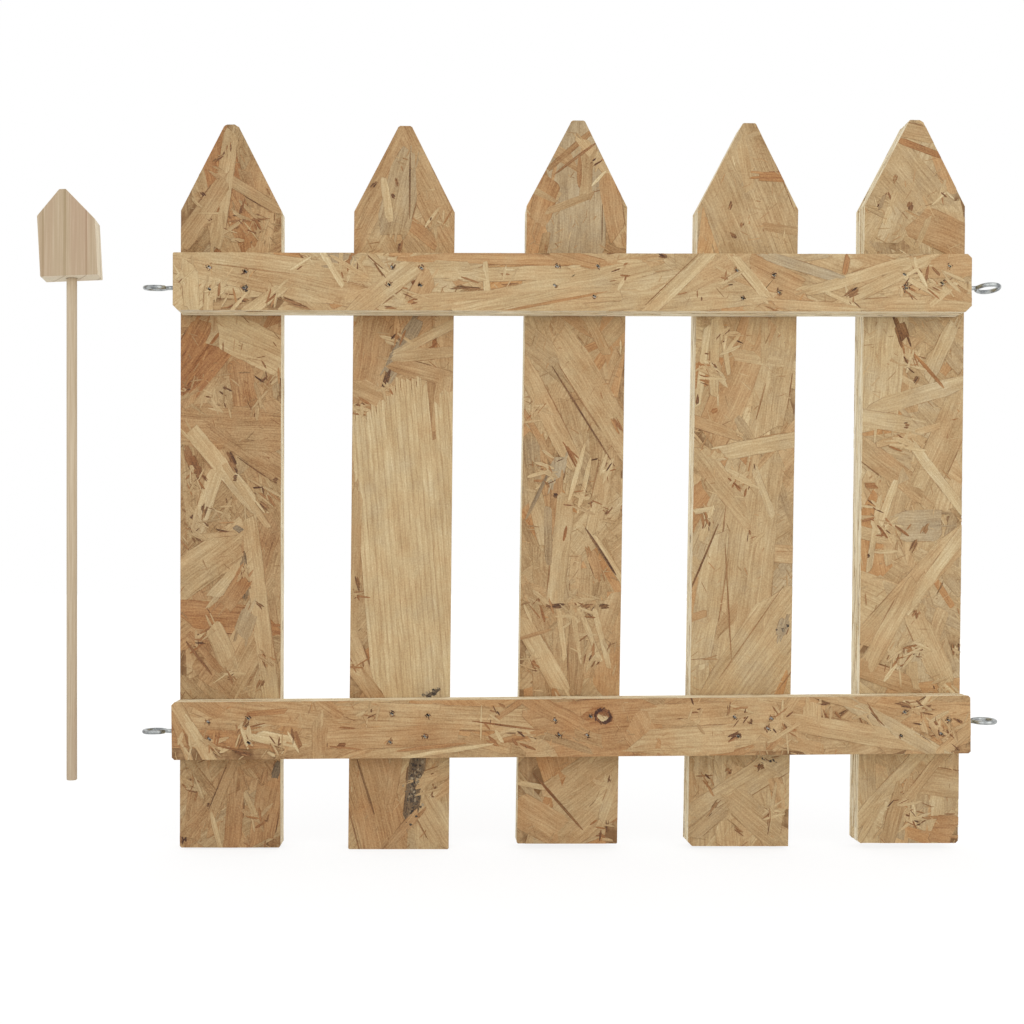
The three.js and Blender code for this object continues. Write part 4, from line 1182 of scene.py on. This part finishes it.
def add_camera():
    """The camera, level and square to the front, with the picture shifted so that the gate is inside it."""
    camera = bpy.data.cameras.new("camera")
    camera.lens = LENS
    camera.sensor_width = SENSOR
    camera.shift_x, camera.shift_y = SHIFT
    camera.clip_start = 0.01
    item = add_object("camera", camera)
    item.location = (EYE_ASIDE, -VIEW_DISTANCE, EYE_HEIGHT)
    item.rotation_euler = (math.pi / 2, 0, 0)
    bpy.context.scene.camera = item


def add_lamp(name, energy, place):
    """A round, soft lamp that faces the middle of the gate."""
    lamp = bpy.data.lights.new(name, "AREA")
    lamp.energy = energy
    lamp.shape = "DISK"
    lamp.size = LAMP_SIZE
    item = add_object(name, lamp)
    item.location = place
    item.rotation_euler = (Vector(GATE_MIDDLE) - Vector(place)).to_track_quat("-Z", "Y").to_euler()


def unlit_background(tree):
    """1 for rays that show the background itself or its mirror image, 0 for rays that carry light."""
    path = node(tree, "ShaderNodeLightPath")
    seen = node(tree, "ShaderNodeMath", {0: path.outputs["Is Camera Ray"], 1: path.outputs["Is Glossy Ray"]},
                operation="MAXIMUM").outputs[0]
    return node(tree, "ShaderNodeMath", {0: seen, 1: path.outputs["Is Transmission Ray"]},
                operation="MAXIMUM").outputs[0]


def add_world():
    """An even white light from all sides."""
    world = bpy.data.worlds.new("studio")
    world.use_nodes = True
    tree = world.node_tree
    tree.nodes.clear()
    soft = node(tree, "ShaderNodeBackground", {"Color": "#ffffff", "Strength": 0.92})
    white = node(tree, "ShaderNodeBackground", {"Color": "#ffffff", "Strength": 1.0})
    mixed = node(tree, "ShaderNodeMixShader", {
        0: unlit_background(tree), 1: soft.outputs[0], 2: white.outputs[0],
    })
    node(tree, "ShaderNodeOutputWorld", {0: mixed.outputs[0]})
    bpy.context.scene.world = world


def add_floor():
    """A pale floor that keeps the gate's shadow near it, and is plain white further away."""
    bm = bmesh.new()
    bmesh.ops.create_grid(bm, x_segments=1, y_segments=1, size=FLOOR_REACH)
    bmesh.ops.translate(bm, verts=bm.verts[:], vec=(0, 0, cad_box[0][2]))
    mesh = mesh_of("floor", bm)
    floor = add_object("floor", mesh)
    material, tree, shader = finish("pale_floor")
    feed(tree, shader, {"Base Color": "#e8e8e8", "Roughness": 1.0})
    place = node(tree, "ShaderNodeTexCoord").outputs["Object"]
    away = node(tree, "ShaderNodeVectorMath", {0: place}, operation="LENGTH").outputs["Value"]
    white = node(tree, "ShaderNodeMapRange", {0: away, 1: 0.25, 2: 0.9, 3: 0.75, 4: 1.0}).outputs[0]
    glow = node(tree, "ShaderNodeEmission", {"Color": "#ffffff", "Strength": 1.1})
    share = node(tree, "ShaderNodeMath", {0: unlit_background(tree), 1: white},
                 operation="MULTIPLY").outputs[0]
    mixed = node(tree, "ShaderNodeMixShader", {0: share, 1: shader.outputs[0], 2: glow.outputs[0]})
    feed(tree, tree.nodes["Material Output"], {0: mixed.outputs[0]})
    mesh.materials.append(material)


bpy.context.scene.view_settings.view_transform = "Standard"
add_camera()
add_world()
add_lamp("key", 2.7, (-0.6, -1.3, 0.5))
add_lamp("fill", 4.1, (0.8, -1.2, 0.4))
add_floor()

for seed, name in enumerate(PICKETS, start=1):
    make_board(name, seed)
for seed, name in enumerate(RAILS, start=11):
    make_board(name, seed, nail_holes(name))

brad = nail_steel()
for name in NAILS:
    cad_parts[name].data.materials.clear()
    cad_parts[name].data.materials.append(brad)
for name in EYES:
    make_eye(name)
low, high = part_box("pin_dowel")
pin_axis = (low + high) / 2
make_dowel(pin_axis)
make_pin_head(pin_axis)
